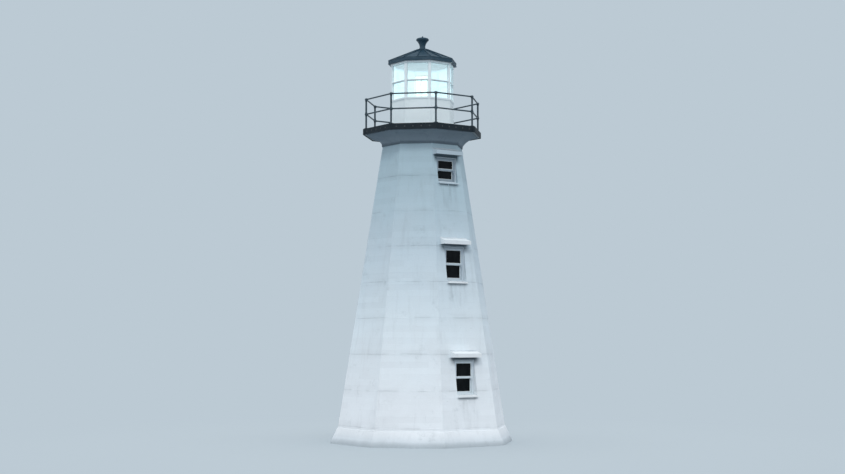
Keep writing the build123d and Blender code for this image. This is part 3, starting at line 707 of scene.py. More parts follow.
# Painted shadow: a dark band over each frame's head, where its hood shades it.
head_shade = [(w["high"][2] + 0.01, HOOD_HALF, 0.07, 1.0, 0.85) for w in windows if w["side"] == WINDOW_SIDE]
window_paint = paint(
    "window_paint", window_shade_tones, wear=0.03, under=srgb(120, 104, 88), scale=16.0, shade=0.08, stains_and_shade=head_shade
)
door_paint = paint("door_paint", srgb(52, 76, 88), wear=0.04, under=srgb(128, 104, 82), scale=7.0, gloss=0.36)
pedestal_paint = paint("pedestal_paint", srgb(70, 98, 98), wear=0.0, gloss=0.3, shade=0.08)
bolt_paint = paint("bolt_paint", srgb(64, 70, 72), wear=0.12, scale=40.0, gloss=0.5)
putty = paint("putty", srgb(206, 214, 216), wear=0.0, under=srgb(150, 142, 128), scale=30.0, gloss=0.6, shade=0.08)

# %% [markdown]
# ### Brass and glass
# Brass outdoors turns brown in the hollows and stays bright where hands touch. Window glass by
# day is a dark mirror, because the room behind it is dark; here the panes are opaque and near
# black, a painted shade for that room. The lantern's panes carry a veil of salt and a painted
# glow, which makes the lantern one bright block from far off. The lens is pressed glass, clear
# with a green edge, and has a painted glow as well.

# %% Finish: brass and the three kinds of glass
def brass(name, bright, dull):
    """Metal whose tarnish follows a fine noise."""
    made, t, shader, place = start(name, metallic=1.0)
    marks = t.noise(place, 26.0, 5.0, 0.65)
    t.put(shader.inputs["Base Color"], t.mix(t.ease(marks, 0.38, 0.66), bright, dull))
    t.put(shader.inputs["Roughness"], t.ease(marks, 0.3, 0.7, 0.24, 0.5))
    t.put(shader.inputs["Normal"], t.bump(marks, 0.0006, 0.4))
    return made


def pane(name, colour, rough, veil, transmission, **constants):
    """Glass with a veil of salt and dust, thicker in clouds."""
    made, t, shader, place = start(name, ior=1.5, transmission=transmission, **constants)
    cloud = t.noise(t.stretch(place, (1.0, 1.0, 0.55)), 3.2, 5.0, 0.65)
    dusty = t.math("MULTIPLY", t.ease(cloud, 0.35, 0.75), veil)
    t.put(shader.inputs["Base Color"], t.mix(dusty, colour, srgb(196, 208, 214)))
    t.put(shader.inputs["Roughness"], t.math("ADD", t.math("MULTIPLY", dusty, 0.4), rough))
    t.put(shader.inputs["Normal"], t.bump(t.noise(place, 5.0, 1.0), 0.002, 0.25))
    return made


door_brass = brass("door_brass", srgb(186, 164, 112), srgb(104, 88, 62))
lens_brass = brass("lens_brass", srgb(222, 190, 112), srgb(158, 124, 70))
# Painted shade: the window panes are opaque and near black, for the dark rooms behind them.
window_pane = pane("window_pane", srgb(3, 6, 9), 0.05, 0.012, 0.0, specular=0.1)
# Painted light: the lantern's panes glow, though they are no lamp.
lantern_pane_with_glow = pane("lantern_pane_with_glow", srgb(236, 248, 251), 0.06, 0.25, 0.75, glow=0.26, glow_color=srgb(216, 242, 249))
# Painted light: the lens glows, though it is no lamp.
lens_pane_with_glow = pane("lens_pane_with_glow", srgb(214, 240, 232), 0.02, 0.05, 0.85, glow=0.42, glow_color=srgb(240, 252, 250))
lamp_glow = start("lamp_glow", color=srgb(255, 252, 242), roughness=0.3, glow=6.0, glow_color=srgb(255, 250, 238))[0]

# %% [markdown]
# ## Dress the nodes of the frame
# Every node keeps its mesh and gets one of these finishes.

# %% Hand out the finishes
finishes = {
    shaft_paint: [f"{side}_wall" for side in SIDE_NAMES],
    plinth_paint: ["foundation_plinth"],
    cove_paint: ["gallery_cove"],
    dressing_paint: ["window_sills", "window_hoods", "door_surround"],
    deck_concrete: ["gallery_deck"],
    room_concrete: ["ground_floor", "middle_floor", "upper_floor"],
    band_paint: ["gallery_edge_band"],
    rail_paint: [f"{side}_railing" for side in SIDE_NAMES],
    lantern_paint: ["lantern_wall", "lantern_access_door", "glazing_frame"],
    roof_paint: ["lantern_eave", "lantern_roof", "ventilator"],
    window_paint: ["lower_window_frame", "middle_window_frame", "upper_window_frame", "back_window_frames", "window_sashes"],
    window_pane: ["window_glass"],
    lantern_pane_with_glow: ["lantern_glass"],
    door_paint: ["door_frame", "door_leaf"],
    door_brass: ["door_fittings"],
    lens_pane_with_glow: ["drum_lens"],
    lens_brass: ["lens_frame"],
    pedestal_paint: ["optic_pedestal"],
    window_wall_paint: ["front_right_wall"],
    door_wall_paint: ["back_left_wall"],
}
for finish, nodes in finishes.items():
    for node in nodes:
        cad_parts[node].data.materials.clear()
        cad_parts[node].data.materials.append(finish)
print(len({n for nodes in finishes.values() for n in nodes}), "nodes dressed")

# %% [markdown]
# ## Concrete details
# Where one day's pour met the next, grout squeezed out under the form and left a thin uneven
# fin, painted over since. It is a small half ellipse carried across the face whose size
# wanders. It has to stop at windows, hoods and the door, so a function first finds the free
# stretches at a level.

# %% Free stretches of a side
def free_stretches(side, level, margin=0.004):
    """Stretches of a side, from corner to corner, that no opening, hood or surround crosses."""
    half = 0.0
    for w in windows:
        if w["side"] == side:
            sill, head = w["low"][2] - SILL_DROP, w["high"][2]
            if sill - 0.01 < level < head + 0.01:
                half = w["high"][0]
            elif head + HOOD_GAP - 0.02 < level < head + HOOD_GAP + HOOD_HEIGHT + 0.02:
                half = HOOD_HALF
    if side == DOOR_SIDE and level < surround[:, 2].max() + 0.02:
        half = surround[:, 0].max()
    edge = shaft(level) * HALF_TAN
    return [(-edge, -half - margin), (half + margin, edge)] if half else [(-edge, edge)]


# %% Pour fins and the haunch on the plinth
def fin(side, level, first, last, height, proud):
    """Fin on a battered face: out = shaft + proud s cos q, up = level + height s sin q / 2, for
    q over a half turn, where the swell s wanders along the face."""
    across = np.linspace(first, last, int((last - first) / 0.03) + 3)[:, None]
    swell = 0.35 + 0.65 * wander(across, 0.7, rng)
    rise = level + 0.012 * (wander(across, 1.9, rng) - 0.5)
    q = np.linspace(-np.pi / 2, np.pi / 2, 5)[None]
    up = rise + height * swell * np.sin(q) / 2
    out = shaft(up) + proud * swell * np.cos(q)
    back = np.concatenate([up[:, -1:], up[:, :1]], 1)
    up, out = np.concatenate([up, back], 1), np.concatenate([out, shaft(back) - 0.008], 1)
    return grid(on_side(side, across + 0 * up, out, up))


lift_levels = np.arange(FIRST_LIFT, neck - 0.2, LIFT)
fins = [
    fin(side, level, a, b, 0.016, 0.0045)
    for side in ALL_SIDES for level in lift_levels for a, b in free_stretches(side, level)
]
piece("pour_fins", fins, shaft_paint)
haunch = [
    fin(side, plinth_top + 0.003, a, b, 0.044, 0.017)
    for side in ALL_SIDES for a, b in free_stretches(side, plinth_top + 0.003)
]
piece("plinth_haunch", haunch, plinth_paint)

# %% [markdown]
# Between two boards of a form a little grout leaks too, and leaves a lower, sharper ridge that
# fades out and comes back. The levels are the ones that the paint uses for its board joints. A
# ridge is a triangle carried across the face, and where its swell is negative the crest sinks
# into the wall, which is how one unbroken surface can look broken.

# %% Ridges between the form boards
BOARD = 0.15


def ridge(side, level, first, last):
    """Ridge on a battered face: out = shaft + proud at the crest, where proud wanders from
    -2 mm to 2.6 mm, and its foot and head lie just inside the face, 4 mm below and above."""
    across = np.linspace(first, last, int((last - first) / 0.07) + 3)[:, None]
    proud = 0.0046 * wander(across, 1.1, rng) - 0.002
    hidden = -0.0004 + 0 * across
    up = level + 0.005 * (wander(across, 2.3, rng) - 0.5) + np.array([-0.004, 0.0, 0.004, 0.0])
    out = shaft(up) + np.concatenate([hidden, proud, hidden, hidden - 0.007], 1)
    return grid(on_side(side, across + 0 * up, out, up))


board_levels = np.arange(math.ceil((plinth_top + 0.06) / BOARD), math.floor((neck - 0.03) / BOARD) + 1) * BOARD
ridges = [
    ridge(side, level, a, b)
    for level in board_levels if np.abs(level - lift_levels).min() > 0.03
    for side in ALL_SIDES for a, b in free_stretches(side, level)
]
piece("board_ridges", ridges, shaft_paint, sharp=60)

# %% [markdown]
# The forms were held by ties, whose holes were plugged with mortar discs. They sit on a grid
# between the pour lines. The blunt corners of the shaft carry many coats of paint, thickest on
# the arris, with dents where it was knocked.

# %% Tie plugs and painted arrises
normal_rise, normal_out = math.sin(BATTER_ANGLE), math.cos(BATTER_ANGLE)
plugs = []
for level in np.concatenate([lift_levels + 0.25, lift_levels + 0.68]):
    if level < neck - 0.1:
        for side in ALL_SIDES:
            for a, b in free_stretches(side, level, 0.06):
                across = np.arange(math.ceil((a + 0.06) / 0.31), math.floor((b - 0.06) / 0.31) + 1) * 0.31
                plugs += [(side, x + rng.uniform(-0.012, 0.012), level + rng.uniform(-0.01, 0.01)) for x in across]
plugs = np.array(plugs)
spots = on_side(plugs[:, 0], plugs[:, 1], shaft(plugs[:, 2]), plugs[:, 2])
normals = on_side(plugs[:, 0], 0, normal_out, normal_rise)
plug = [(0, 0.0012), (0.010, 0.0014), (0.016, 0.003), (0.020, 0.0022), (0.023, -0.003), (0, -0.003)]
piece("tie_plugs", [turned(plug, spots, normals, 12)], shaft_paint)



def arris(corner, rise, apothem, wing):
    """Coat of paint over a blunt corner that rises with a profile: across = wing * share, out =
    apothem / cos(half turn) - |across| tan(half turn) + coat, with a coat that wanders."""
    rise, apothem = rise[:, None], apothem[:, None]
    thick = 0.0016 + 0.0026 * wander(rise, 0.9, rng, 6)
    reach = wing * (1 + 0.4 * wander(rise, 1.3, rng))
    x = reach * np.array([-1, -0.45, -0.12, 0.12, 0.45, 1, 0.8, 0.3, -0.3, -0.8])
    coat = np.array([0.0, 0.8, 1.0, 1.0, 0.8, 0.0, 0, 0, 0, 0]) * thick - np.repeat([0, 0.007], [6, 4])
    out = (apothem + coat) * TO_CORNER - np.abs(x) * HALF_TAN
    return grid(on_side(corner, x, out, rise + 0 * x))


rise = np.arange(plinth_top + 0.002, neck + 0.012, 0.06)
piece("painted_arrises", [arris(c, rise, shaft(rise), 0.045) for c in CORNERS], shaft_paint, sharp=50)
plinth = seen_from("foundation_plinth", 0)
lip_apothem = plinth[plinth[:, 2] > plinth_top - 1e-3, 1].max()
rise = np.linspace(0.025, plinth_top - 0.004, 9)
splay = plinth[:, 1].max() + (lip_apothem - plinth[:, 1].max()) * rise / plinth_top
piece("plinth_arrises", [arris(c, rise, splay, 0.06) for c in CORNERS], plinth_paint, sharp=50)

# %% [markdown]
# The cove under the gallery was cast against narrow boards bent to its curve. They left low
# ridges that run round all eight sides, and its mitres have the same thick coat of paint. Its
# curve is read from the frame: the furthest point out at each level.

# %% Ridges and mitres of the cove
cove = seen_from("gallery_cove", 0)
cove_levels = np.unique(cove[:, 2].round(4))
cove_apothems = np.array([cove[abs(cove[:, 2] - z) < 1e-3, 1].max() for z in cove_levels])
curve_foot = neck + 0.05
ridges = []
for level in np.linspace(curve_foot + 0.02, cove_levels[-1] - 0.03, 6):
    near = level + np.array([-0.006, -0.002, 0.002, 0.006])
    out = np.interp(near, cove_levels, cove_apothems) + [-0.003, 0.0022, 0.0022, -0.003]
    loop = np.append(np.stack([out, near], 1), [[out[0] - 0.012, level]], 0)
    ridges.append(ring(loop, steps=14, wobble=0.0018 * wander(np.arange(SIDES * 14)[:, None] / 14, 1.7, rng) - 0.001))
mitre_rise = np.linspace(curve_foot, cove_levels[-1] - 0.004, 12)
mitres = [arris(c, mitre_rise, np.interp(mitre_rise, cove_levels, cove_apothems), 0.02) for c in CORNERS]
piece("cove_ridges", ridges + mitres, cove_paint, sharp=50)

# %% [markdown]
# ## Windows
# A sash window is closed up with soft material: putty bevels hold the panes, a quarter-round
# bead holds the outer sash in the frame, and mortar fills the joint between frame and wall.
# All three run round a rectangle, so each is a small section and one call a window. The outer
# sash also ends in two shaped horns.

# %% Putty, beads, mortar joint and horns
FRAME_BAR, SASH_BAR, SASH_SETBACK, SASH_THICKNESS = 0.035, 0.042, 0.008, 0.030
putties, beads, joints, horns = [], [], [], []
for w in windows:
    side, low, high = w["side"], w["low"], w["high"]
    front = high[1]
    for pane_low, pane_high in w["panes"]:
        face = pane_high[1]
        putties.append(frame_ring(side, pane_low, pane_high, [(-0.002, face + 0.0105), (0.0105, face + 0.0005), (0.0105, face - 0.001), (-0.002, face - 0.001)]))
    q = np.linspace(0, np.pi / 2, 4)
    bead = [(FRAME_BAR + 0.011 * math.cos(a), front - SASH_SETBACK + 0.011 * math.sin(a)) for a in q]
    bead = [(FRAME_BAR - 0.003, front - SASH_SETBACK + 0.0002)] + [(x, y + 0.0002) for x, y in bead] + [(FRAME_BAR - 0.003, front + 0.0032)]
    beads.append(frame_ring(side, low, high, bead))
    joints.append(frame_ring(side, low, high, [(-0.004, front - 0.004), (-0.004, front + 0.016), (0.006, front + 0.009), (0.012, front - 0.004)]))
    upper_low, upper_high = w["panes"][0]
    sash_foot = upper_low[2] - SASH_BAR
    sash_front = front - SASH_SETBACK
    x = np.array([-1, 1]) * (upper_high[0] + SASH_BAR / 2)
    top = on_side(side, x, sash_front - SASH_THICKNESS / 2, sash_foot + 0.002)
    foot = on_side(side, x, sash_front - SASH_THICKNESS / 2 + 0.001, sash_foot - 0.055)
    across = on_side(side, 1.0, 0.0, 0.0)
    horns.append(bars(top, foot, across, rounded(0.036, 0.026, 0.006), ease=0.018, shrink=0.55))
piece("window_putty", putties, putty)
piece("sash_beads", beads, window_paint)
piece("frame_mortar", joints, mortar)
piece("sash_horns", horns, window_paint)

# %% [markdown]
# Each hood was cast against the finished wall, and the joint on top was pointed with a sloping
# fillet so that rain runs forward over the hood. The same fillet closes the top of the door's
# surround.

# %% Pointing on the hoods
def pointing(side, level, half):
    """Fillet where a ledge meets the battered wall, with a wandering top edge."""
    across = np.linspace(-half, half, int(half / 0.02) + 2)[:, None]
    tall = 0.018 + 0.022 * wander(across, 0.35, rng)
    wide = 0.016 + 0.012 * wander(across, 0.5, rng)
    up = np.concatenate([level + tall, level + tall * 0.4, level - 0.007 + 0 * tall, level - 0.02 + 0 * tall], 1)
    out = shaft(up) + np.concatenate([-0.002 + 0 * tall, wide * 0.35, wide, -0.01 + 0 * tall], 1)
    return grid(on_side(side, across + 0 * up, out, up))


fillets = [pointing(w["side"], w["high"][2] + HOOD_GAP + HOOD_HEIGHT, HOOD_HALF - 0.004) for w in windows]
fillets.append(pointing(DOOR_SIDE, surround[:, 2].max(), surround[:, 0].max() - 0.004))
piece("hood_pointing", fillets, mortar)

# %% [markdown]
# ## The gallery
# The deck's edge is a steel band, bolted on, with folded cover plates over its joints at the
# corners. The rail is pipe screwed into ball fittings, on round flanges bolted to the deck.
# The frame's posts and rails are eight-sided, so one piece of true pipe stands for all eight.

# %% Edge band
band_middle = (band_foot + deck_top) / 2
across = (np.arange(5) - 2) * 0.215
heads = on_side(ALL_SIDES[:, None], across[None], deck_apothem, band_middle).reshape(-1, 3)
outward = np.repeat(on_side(ALL_SIDES, 0, 1, 0), len(across), axis=0)
washers = turned([(0, 0.002), (0.019, 0.002), (0.021, 0.0), (0.021, -0.002), (0, -0.002)], heads, outward, 16)
piece("band_bolts", [washers, turned(bolt_head(0.012, 0.011), heads, outward, 6)], bolt_paint)
corner_out = deck_apothem * TO_CORNER
plates = bars(
    on_side(CORNERS, 0, corner_out, deck_top - 0.004), on_side(CORNERS, 0, corner_out, band_foot + 0.004),
    on_side(CORNERS, 1, 0, 0), fold(0.085, 0.005), ease=0.004, shrink=0.99,
)
plate_screws = [
    turned(dome(0.007, 0.004), on_side(side, s * (deck_apothem * HALF_TAN - x), deck_apothem + 0.004, band_middle + z), on_side(side, 0, 1, 0), 10)
    for side in ALL_SIDES for s in (-1, 1) for x in (0.025, 0.065) for z in (-0.045, 0.045)
]
piece("band_corner_plates", [plates] + plate_screws, band_paint)

# %% Pipe railing
POST_RADIUS, RAIL_RADIUS, BALL_RADIUS, FLANGE_RADIUS = 0.024, 0.019, 0.037, 0.064
collar_half = 0.023
rail_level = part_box("front_railing")[1].z - collar_half
rail_levels = (deck_top + (rail_level - deck_top) / 2, rail_level)
post_out = rail_apothem * TO_CORNER
posts = on_side(CORNERS, 0, post_out, deck_top)
flange_profile = [(0, 0.014), (0.056, 0.014), (FLANGE_RADIUS, 0.009), (FLANGE_RADIUS, 0), (0, 0)]
post_profile = [(0.034, 0.012), (0.030, 0.022), (POST_RADIUS + 0.001, 0.034), (POST_RADIUS, 0.05), (POST_RADIUS, rail_level - deck_top), (0, rail_level - deck_top)]
surfaces = [turned(flange_profile, posts, segments=24), turned([(0, 0.012)] + post_profile, posts, segments=18)]
q = np.linspace(0, np.pi, 11)
ball = np.stack([BALL_RADIUS * np.sin(q), BALL_RADIUS * np.cos(q)], 1)
for level in rail_levels:
    centres = on_side(CORNERS, 0, post_out, level)
    surfaces.append(turned(ball, centres, segments=18))
    ends = np.roll(centres, -1, axis=0)
    surfaces.append(bars(centres, ends, [(0.0, 0, 1)], circle(RAIL_RADIUS, 14)))
    for start_point, end_point in ((centres, ends), (ends, centres)):
        sleeve = [(RAIL_RADIUS + 0.006, 0.024), (RAIL_RADIUS + 0.006, 0.050), (RAIL_RADIUS + 0.002, 0.054), (0, 0.054)]
        surfaces.append(turned([(0, 0.024)] + sleeve, start_point, unit(end_point - start_point), 14))
    for z in (-1, 1):
        sleeve = [(0, 0.024), (POST_RADIUS + 0.006, 0.024), (POST_RADIUS + 0.006, 0.048), (POST_RADIUS + 0.001, 0.052), (0, 0.052)]
        if z < 0 or level < rail_level:
            surfaces.append(turned(sleeve, centres, (0, 0, z), 14))
piece("gallery_pipe_rail", surfaces, rail_paint, stands_for=[f"{side}_railing" for side in SIDE_NAMES], sharp=40)
spots = [on_side(CORNERS, 0.046 * math.cos(a), post_out + 0.046 * math.sin(a), deck_top + 0.014) for a in np.pi * (0.25 + 0.5 * np.arange(4))]
piece("rail_flange_bolts", [turned(bolt_head(0.008, 0.008), p, segments=6) for p in spots], bolt_paint)
outward = on_side(CORNERS, 0, 1, 0)
screws = []
for level in rail_levels:
    screws.append(turned(bolt_head(0.009, 0.006), on_side(CORNERS, 0, post_out + BALL_RADIUS - 0.0015, level), outward, 6))
    for s in (-1, 1):
        sleeve_middle = on_side(CORNERS + s * 0.5, -s * (post_out * math.sin(TURN / 2) - 0.037), rail_apothem, level)
        across = on_side(CORNERS + s * 0.5, 0, 1, 0)
        screws.append(turned(bolt_head(0.0055, 0.005), sleeve_middle + (RAIL_RADIUS + 0.005) * across, across, 6))
piece("rail_set_screws", screws, bolt_paint)

# %% [markdown]
# ## The lantern
# The lantern is iron plate. Folded straps cover the plate joints at the eight corners, riveted
# on both sides, and its foot flange is bolted down and pointed with mortar. Above, bronze-like
# cover strips, painted with the rest, clamp the panes at the mullions, and a half-round strip
# runs along each middle bar.

# %% Straps, rivets and the foot flange
flange_step = seen_from("lantern_wall", 0)
body_apothem = flange_step[flange_step[:, 2] > lantern_foot_top - 0.01, 1].max()
flange_top = np.unique(flange_step[flange_step[:, 1] > body_apothem + 0.01, 2].round(4)).max()
strap_out = body_apothem * TO_CORNER
straps = bars(
    on_side(CORNERS, 0, strap_out, glazing_foot - 0.001), on_side(CORNERS, 0, strap_out, flange_top + 0.002),
    on_side(CORNERS, 1, 0, 0), fold(0.05, 0.006), ease=0.003, shrink=0.995,
)
rivet_levels = np.linspace(flange_top + 0.04, glazing_foot - 0.04, 9)
edge = body_apothem * HALF_TAN
across = np.array([-1, 1]) * (edge - 0.028)
side_grid, across_grid, level_grid = np.meshgrid(ALL_SIDES, across, rivet_levels, indexing="ij")
spots = on_side(side_grid, across_grid, body_apothem + 0.0055, level_grid).reshape(-1, 3)
outward = on_side(side_grid, 0, 1, 0).reshape(-1, 3)
piece("lantern_straps", [straps, turned(dome(0.0085, 0.005), spots, outward, 10)], lantern_paint)
across = (np.arange(4) - 1.5) * 0.17
spots = on_side(ALL_SIDES[:, None], across[None], body_apothem + 0.0135, flange_top).reshape(-1, 3)
piece("lantern_foot_bolts", [turned(bolt_head(0.0095, 0.010), spots, segments=6)], bolt_paint)
foot_out = wall_apothem
wave = 0.006 * wander(np.linspace(0, 9, SIDES * 12)[:, None], 1.3, rng)
profile = [(foot_out - 0.01, deck_top + 0.022), (foot_out + 0.003, deck_top + 0.018), (foot_out + 0.020, deck_top + 0.001), (foot_out + 0.018, deck_top - 0.004), (foot_out - 0.01, deck_top - 0.004)]
piece("lantern_pointing", [ring(profile, steps=12, wobble=wave)], mortar)

# %% Glazing strips, putty and screws
light_low, light_high = glazing_foot + 0.045, glazing_head - 0.045
ledge_apothem = glazing_apothem
mullion_out = body_apothem * TO_CORNER
covers = bars(
    on_side(CORNERS, 0, mullion_out, light_high + 0.001), on_side(CORNERS, 0, mullion_out, light_low - 0.001),
    on_side(CORNERS, 1, 0, 0), fold(0.021, 0.0055), ease=0.002, shrink=0.995,
)
middle_level = (glazing_foot + glazing_head) / 2
half = (glass_apothem * HALF_TAN) - 0.023
q = np.linspace(0, np.pi, 7)
half_round = np.concatenate([np.stack([0.010 * np.cos(q), 0.007 * np.sin(q)], 1), [(-0.010, -0.003), (0.010, -0.003)]])
middle_strips = bars(
    on_side(ALL_SIDES, -half, body_apothem, middle_level), on_side(ALL_SIDES, half, body_apothem, middle_level),
    (0, 0, 1), half_round, ease=0.004, shrink=0.8,
)
screw_levels = np.concatenate([np.linspace(light_low + 0.03, light_high - 0.03, 9)])
side_grid, s_grid, level_grid = np.meshgrid(ALL_SIDES, [-1, 1], screw_levels, indexing="ij")
spots = on_side(side_grid, s_grid * (body_apothem * HALF_TAN - 0.0115), body_apothem + 0.005, level_grid).reshape(-1, 3)
outward = on_side(side_grid, 0, 1, 0).reshape(-1, 3)
piece("glazing_strips", [covers, middle_strips, turned(dome(0.0042, 0.0024), spots, outward, 8)], lantern_paint)
puttied = []
for side in ALL_SIDES:
    for low_level, high_level in ((light_low, middle_level - 0.013), (middle_level + 0.013, light_high)):
        low, high = np.array([-half, 0, low_level]), np.array([half, 0, high_level])
        puttied.append(frame_ring(side, low, high, [(-0.002, glass_apothem + 0.013), (0.012, glass_apothem + 0.001), (0.012, glass_apothem - 0.001), (-0.002, glass_apothem - 0.001)]))
piece("lantern_putty", puttied, putty)

# %% [markdown]
# ## The roof
# Sheet metal laid in panels: a standing seam up the middle of each side, round rolls on the
# hips, a rolled drip along the eave, and a ventilator of spun sheet with a curved throat. The
# frame's ventilator is straight-sided, so the turned one stands for it.

# %% Rolls, seams and drip
roof = seen_from("lantern_roof", 0)
crown_apothem = roof[roof[:, 2] > crown_level - 1e-3, 1].max()
hip_low = on_side(CORNERS, 0, eave_apothem * TO_CORNER - 0.004, eave_top + 0.006)
hip_high = on_side(CORNERS, 0, crown_apothem * TO_CORNER - 0.006, crown_level - 0.001)
flat = on_side(CORNERS, 1, 0, 0)
rolls = bars(hip_low, hip_high, flat, circle(0.0165, 12), ease=0.012, shrink=0.6)
seam_low = on_side(ALL_SIDES, 0, eave_apothem - 0.006, eave_top + 0.006)
seam_high = on_side(ALL_SIDES, 0, crown_apothem + 0.004, crown_level - 0.003)
seams = bars(seam_low, seam_high, on_side(ALL_SIDES, 1, 0, 0), rounded(0.009, 0.030, 0.0035), ease=0.01, shrink=0.7)
q = 2 * np.pi * np.arange(8) / 8
drip = np.stack([eave_apothem + 0.002 + 0.0085 * np.cos(q), eave_foot + 0.010 + 0.0085 * np.sin(q)], 1)
lip = [(eave_apothem - 0.01, eave_top - 0.003), (eave_apothem + 0.007, eave_top - 0.004), (eave_apothem + 0.008, eave_top + 0.002), (eave_apothem + 0.002, eave_top + 0.006), (eave_apothem - 0.02, eave_top + 0.010)]
piece("roof_seams", [rolls, seams, ring(drip), ring(lip)], roof_paint)
across = (np.arange(6) - 2.5) * 0.115
spots = on_side(ALL_SIDES[:, None], across[None], eave_apothem, (eave_foot + eave_top) / 2 + 0.004).reshape(-1, 3)
outward = np.repeat(on_side(ALL_SIDES, 0, 1, 0), len(across), axis=0)
piece("eave_rivets", [turned(dome(0.007, 0.0042), spots, outward, 10)], roof_paint)

# %% Ventilator
STEM, MOUTH = 0.078, 0.168
flange_level = crown_level + 0.012
throat = flange_level + 0.045
rim_foot = crown_level + 0.246
s = np.linspace(0, 1, 12)
throat_curve = np.stack([STEM - 0.004 + (MOUTH - STEM - 0.004) * s**2.1, throat + (rim_foot - throat) * s], 1)
cap_curve = [(0.160 * math.cos(a), rim_foot + 0.038 + 0.040 * math.sin(a)) for a in np.linspace(0.0, 1.40, 9)]
nub = [(0.019, vent_top - 0.030), (0.020, vent_top - 0.020), (0.015, vent_top - 0.008), (0.0, vent_top - 0.001)]
cowl = [(0.0, flange_level - 0.01), (0.094, flange_level - 0.01), (0.094, flange_level + 0.004), (0.088, flange_level + 0.006),
        (STEM + 0.003, flange_level + 0.006), (STEM + 0.003, throat - 0.006), (STEM - 0.004, throat - 0.004)]
cowl += throat_curve.tolist() + [(MOUTH - 0.002, rim_foot), (MOUTH, rim_foot + 0.004), (MOUTH, rim_foot + 0.030), (MOUTH - 0.003, rim_foot + 0.035)]
cowl += cap_curve + nub
piece("spun_ventilator", [turned(cowl, [(0, 0, 0)], segments=64)], roof_paint, stands_for=["ventilator"], sharp=30)
a = 2 * np.pi * np.arange(12) / 12
rivets = np.stack([(MOUTH - 0.0005) * np.cos(a), (MOUTH - 0.0005) * np.sin(a), 0 * a + rim_foot + 0.017], 1)
outward = np.stack([np.cos(a), np.sin(a), 0 * a], 1)
corner_bolts = on_side(CORNERS, 0, crown_apothem * TO_CORNER - 0.014, flange_level)
piece("ventilator_rivets", [turned(dome(0.005, 0.0015), rivets * [0.995, 0.995, 1], outward, 8), turned(bolt_head(0.0065, 0.007), corner_bolts, segments=6)], roof_paint)

# %% [markdown]
# ## The light
# A fixed drum lens: a round belt in the middle, and stepped prisms above and below that bend
# the light level. The profile is a saw whose teeth lean towards the belt, more so the further
# they are from it. The lamp stands in its focus. The glass is turned in one surface, outside,
# top, inside and foot.

# %% Lens, lamp and pedestal trim
lens_low, lens_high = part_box("drum_lens")
lens_radius, lens_foot, lens_top = lens_high.x, lens_low.z, lens_high.z
lens_middle = (lens_foot + lens_top) / 2
TEETH, BELT_HALF = 9, 0.05
pitch = (lens_top - lens_middle - BELT_HALF) / TEETH
outside = []
for k in range(TEETH):
    away = (k + 1) / TEETH
    outside += [(lens_radius - 0.002 - 0.006 * away, lens_middle + BELT_HALF + k * pitch), (lens_radius - 0.010 - 0.012 * away, lens_middle + BELT_HALF + (k + 0.97) * pitch)]
belt = [(lens_radius - 0.006 * (z / BELT_HALF) ** 2, lens_middle + z) for z in np.linspace(-BELT_HALF, BELT_HALF, 9)]
lower = [(r, 2 * lens_middle - z) for r, z in outside[::-1]]
inner = lens_radius - 0.05
lens_profile = [(inner, lens_foot)] + lower + belt + outside + [(inner, lens_top), (inner, lens_foot)]
piece("pressed_lens", [turned(lens_profile, [(0, 0, 0)], segments=96)], lens_pane_with_glow, stands_for=["drum_lens"], sharp=15)
table = extent("optic_pedestal")[2]
holder = [(0, table), (0.07, table), (0.07, table + 0.01), (0.03, table + 0.02), (0.026, table + 0.16), (0.034, table + 0.17), (0.034, table + 0.21), (0, table + 0.21)]
piece("lamp_holder", [turned(holder, [(0, 0, 0)], segments=32)], lens_brass)
bulb_foot = table + 0.21
bulb = [(0, bulb_foot), (0.022, bulb_foot + 0.002)] + [(0.012 + 0.036 * math.sin(a), bulb_foot + 0.09 - 0.075 * math.cos(a)) for a in np.linspace(0.35, 2.9, 12)] + [(0, bulb_foot + 0.166)]
piece("lamp_bulb", [turned(bulb, [(0, 0, 0)], segments=32)], lamp_glow)
column = seen_from("optic_pedestal", 0)
column_apothem = column[(column[:, 2] > deck_top + 0.3) & (column[:, 1] < 0.12), 1].max()
mouldings = []
for level, flip in ((deck_top + 0.018, 1), (table - 0.026, -1)):
    mouldings.append(ring([(column_apothem - 0.004, level + flip * 0.06), (column_apothem + 0.008, level + flip * 0.058), (column_apothem + 0.012, level + flip * 0.035), (column_apothem + 0.035, level + flip * 0.012), (column_apothem + 0.036, level), (column_apothem - 0.004, level)]))
piece("pedestal_mouldings", mouldings, pedestal_paint)

# %% [markdown]
# ## Doors
# The door on the landward side has raised mouldings round its three sunk panels, butt hinges
# with finials, and a turned knob on a plate with a keyhole. The small iron door in the lantern
# wall swings on two strap hinges and shuts with two cam dogs.

# %% Door mouldings and fittings
leaf = seen_from("door_leaf", DOOR_SIDE)
leaf_front = leaf[:, 1].max()
levels = np.unique(leaf[(leaf[:, 1] > leaf_front - 1e-4), 2].round(4))[1:-1].reshape(-1, 2)
panel_half = np.abs(leaf[(leaf[:, 1] > leaf_front - 1e-4) & (leaf[:, 2] > levels[0, 0] - 1e-3) & (leaf[:, 2] < levels[0, 0] + 1e-3), 0]).min()
mould = [(-0.012, leaf_front - 0.001), (-0.012, leaf_front + 0.003), (-0.004, leaf_front + 0.007), (0.003, leaf_front + 0.003), (0.010, leaf_front - 0.004), (0.016, leaf_front - 0.010), (0.0, leaf_front - 0.012)]
rings = [frame_ring(DOOR_SIDE, np.array([-panel_half, 0, a]), np.array([panel_half, 0, b]), mould) for a, b in levels]
piece("door_mouldings", rings, door_paint)
fittings = seen_from("door_fittings", DOOR_SIDE)
hinge_x = fittings[:, 0].max() - 0.009
hinge_levels = leaf[:, 2].min() + np.array([0.12, 0.5, 0.88]) * np.ptp(leaf[:, 2])
knuckle = [(0, -0.058), (0.005, -0.056), (0.004, -0.051), (0.009, -0.050), (0.009, 0.050), (0.004, 0.051), (0.005, 0.056), (0, 0.058)]
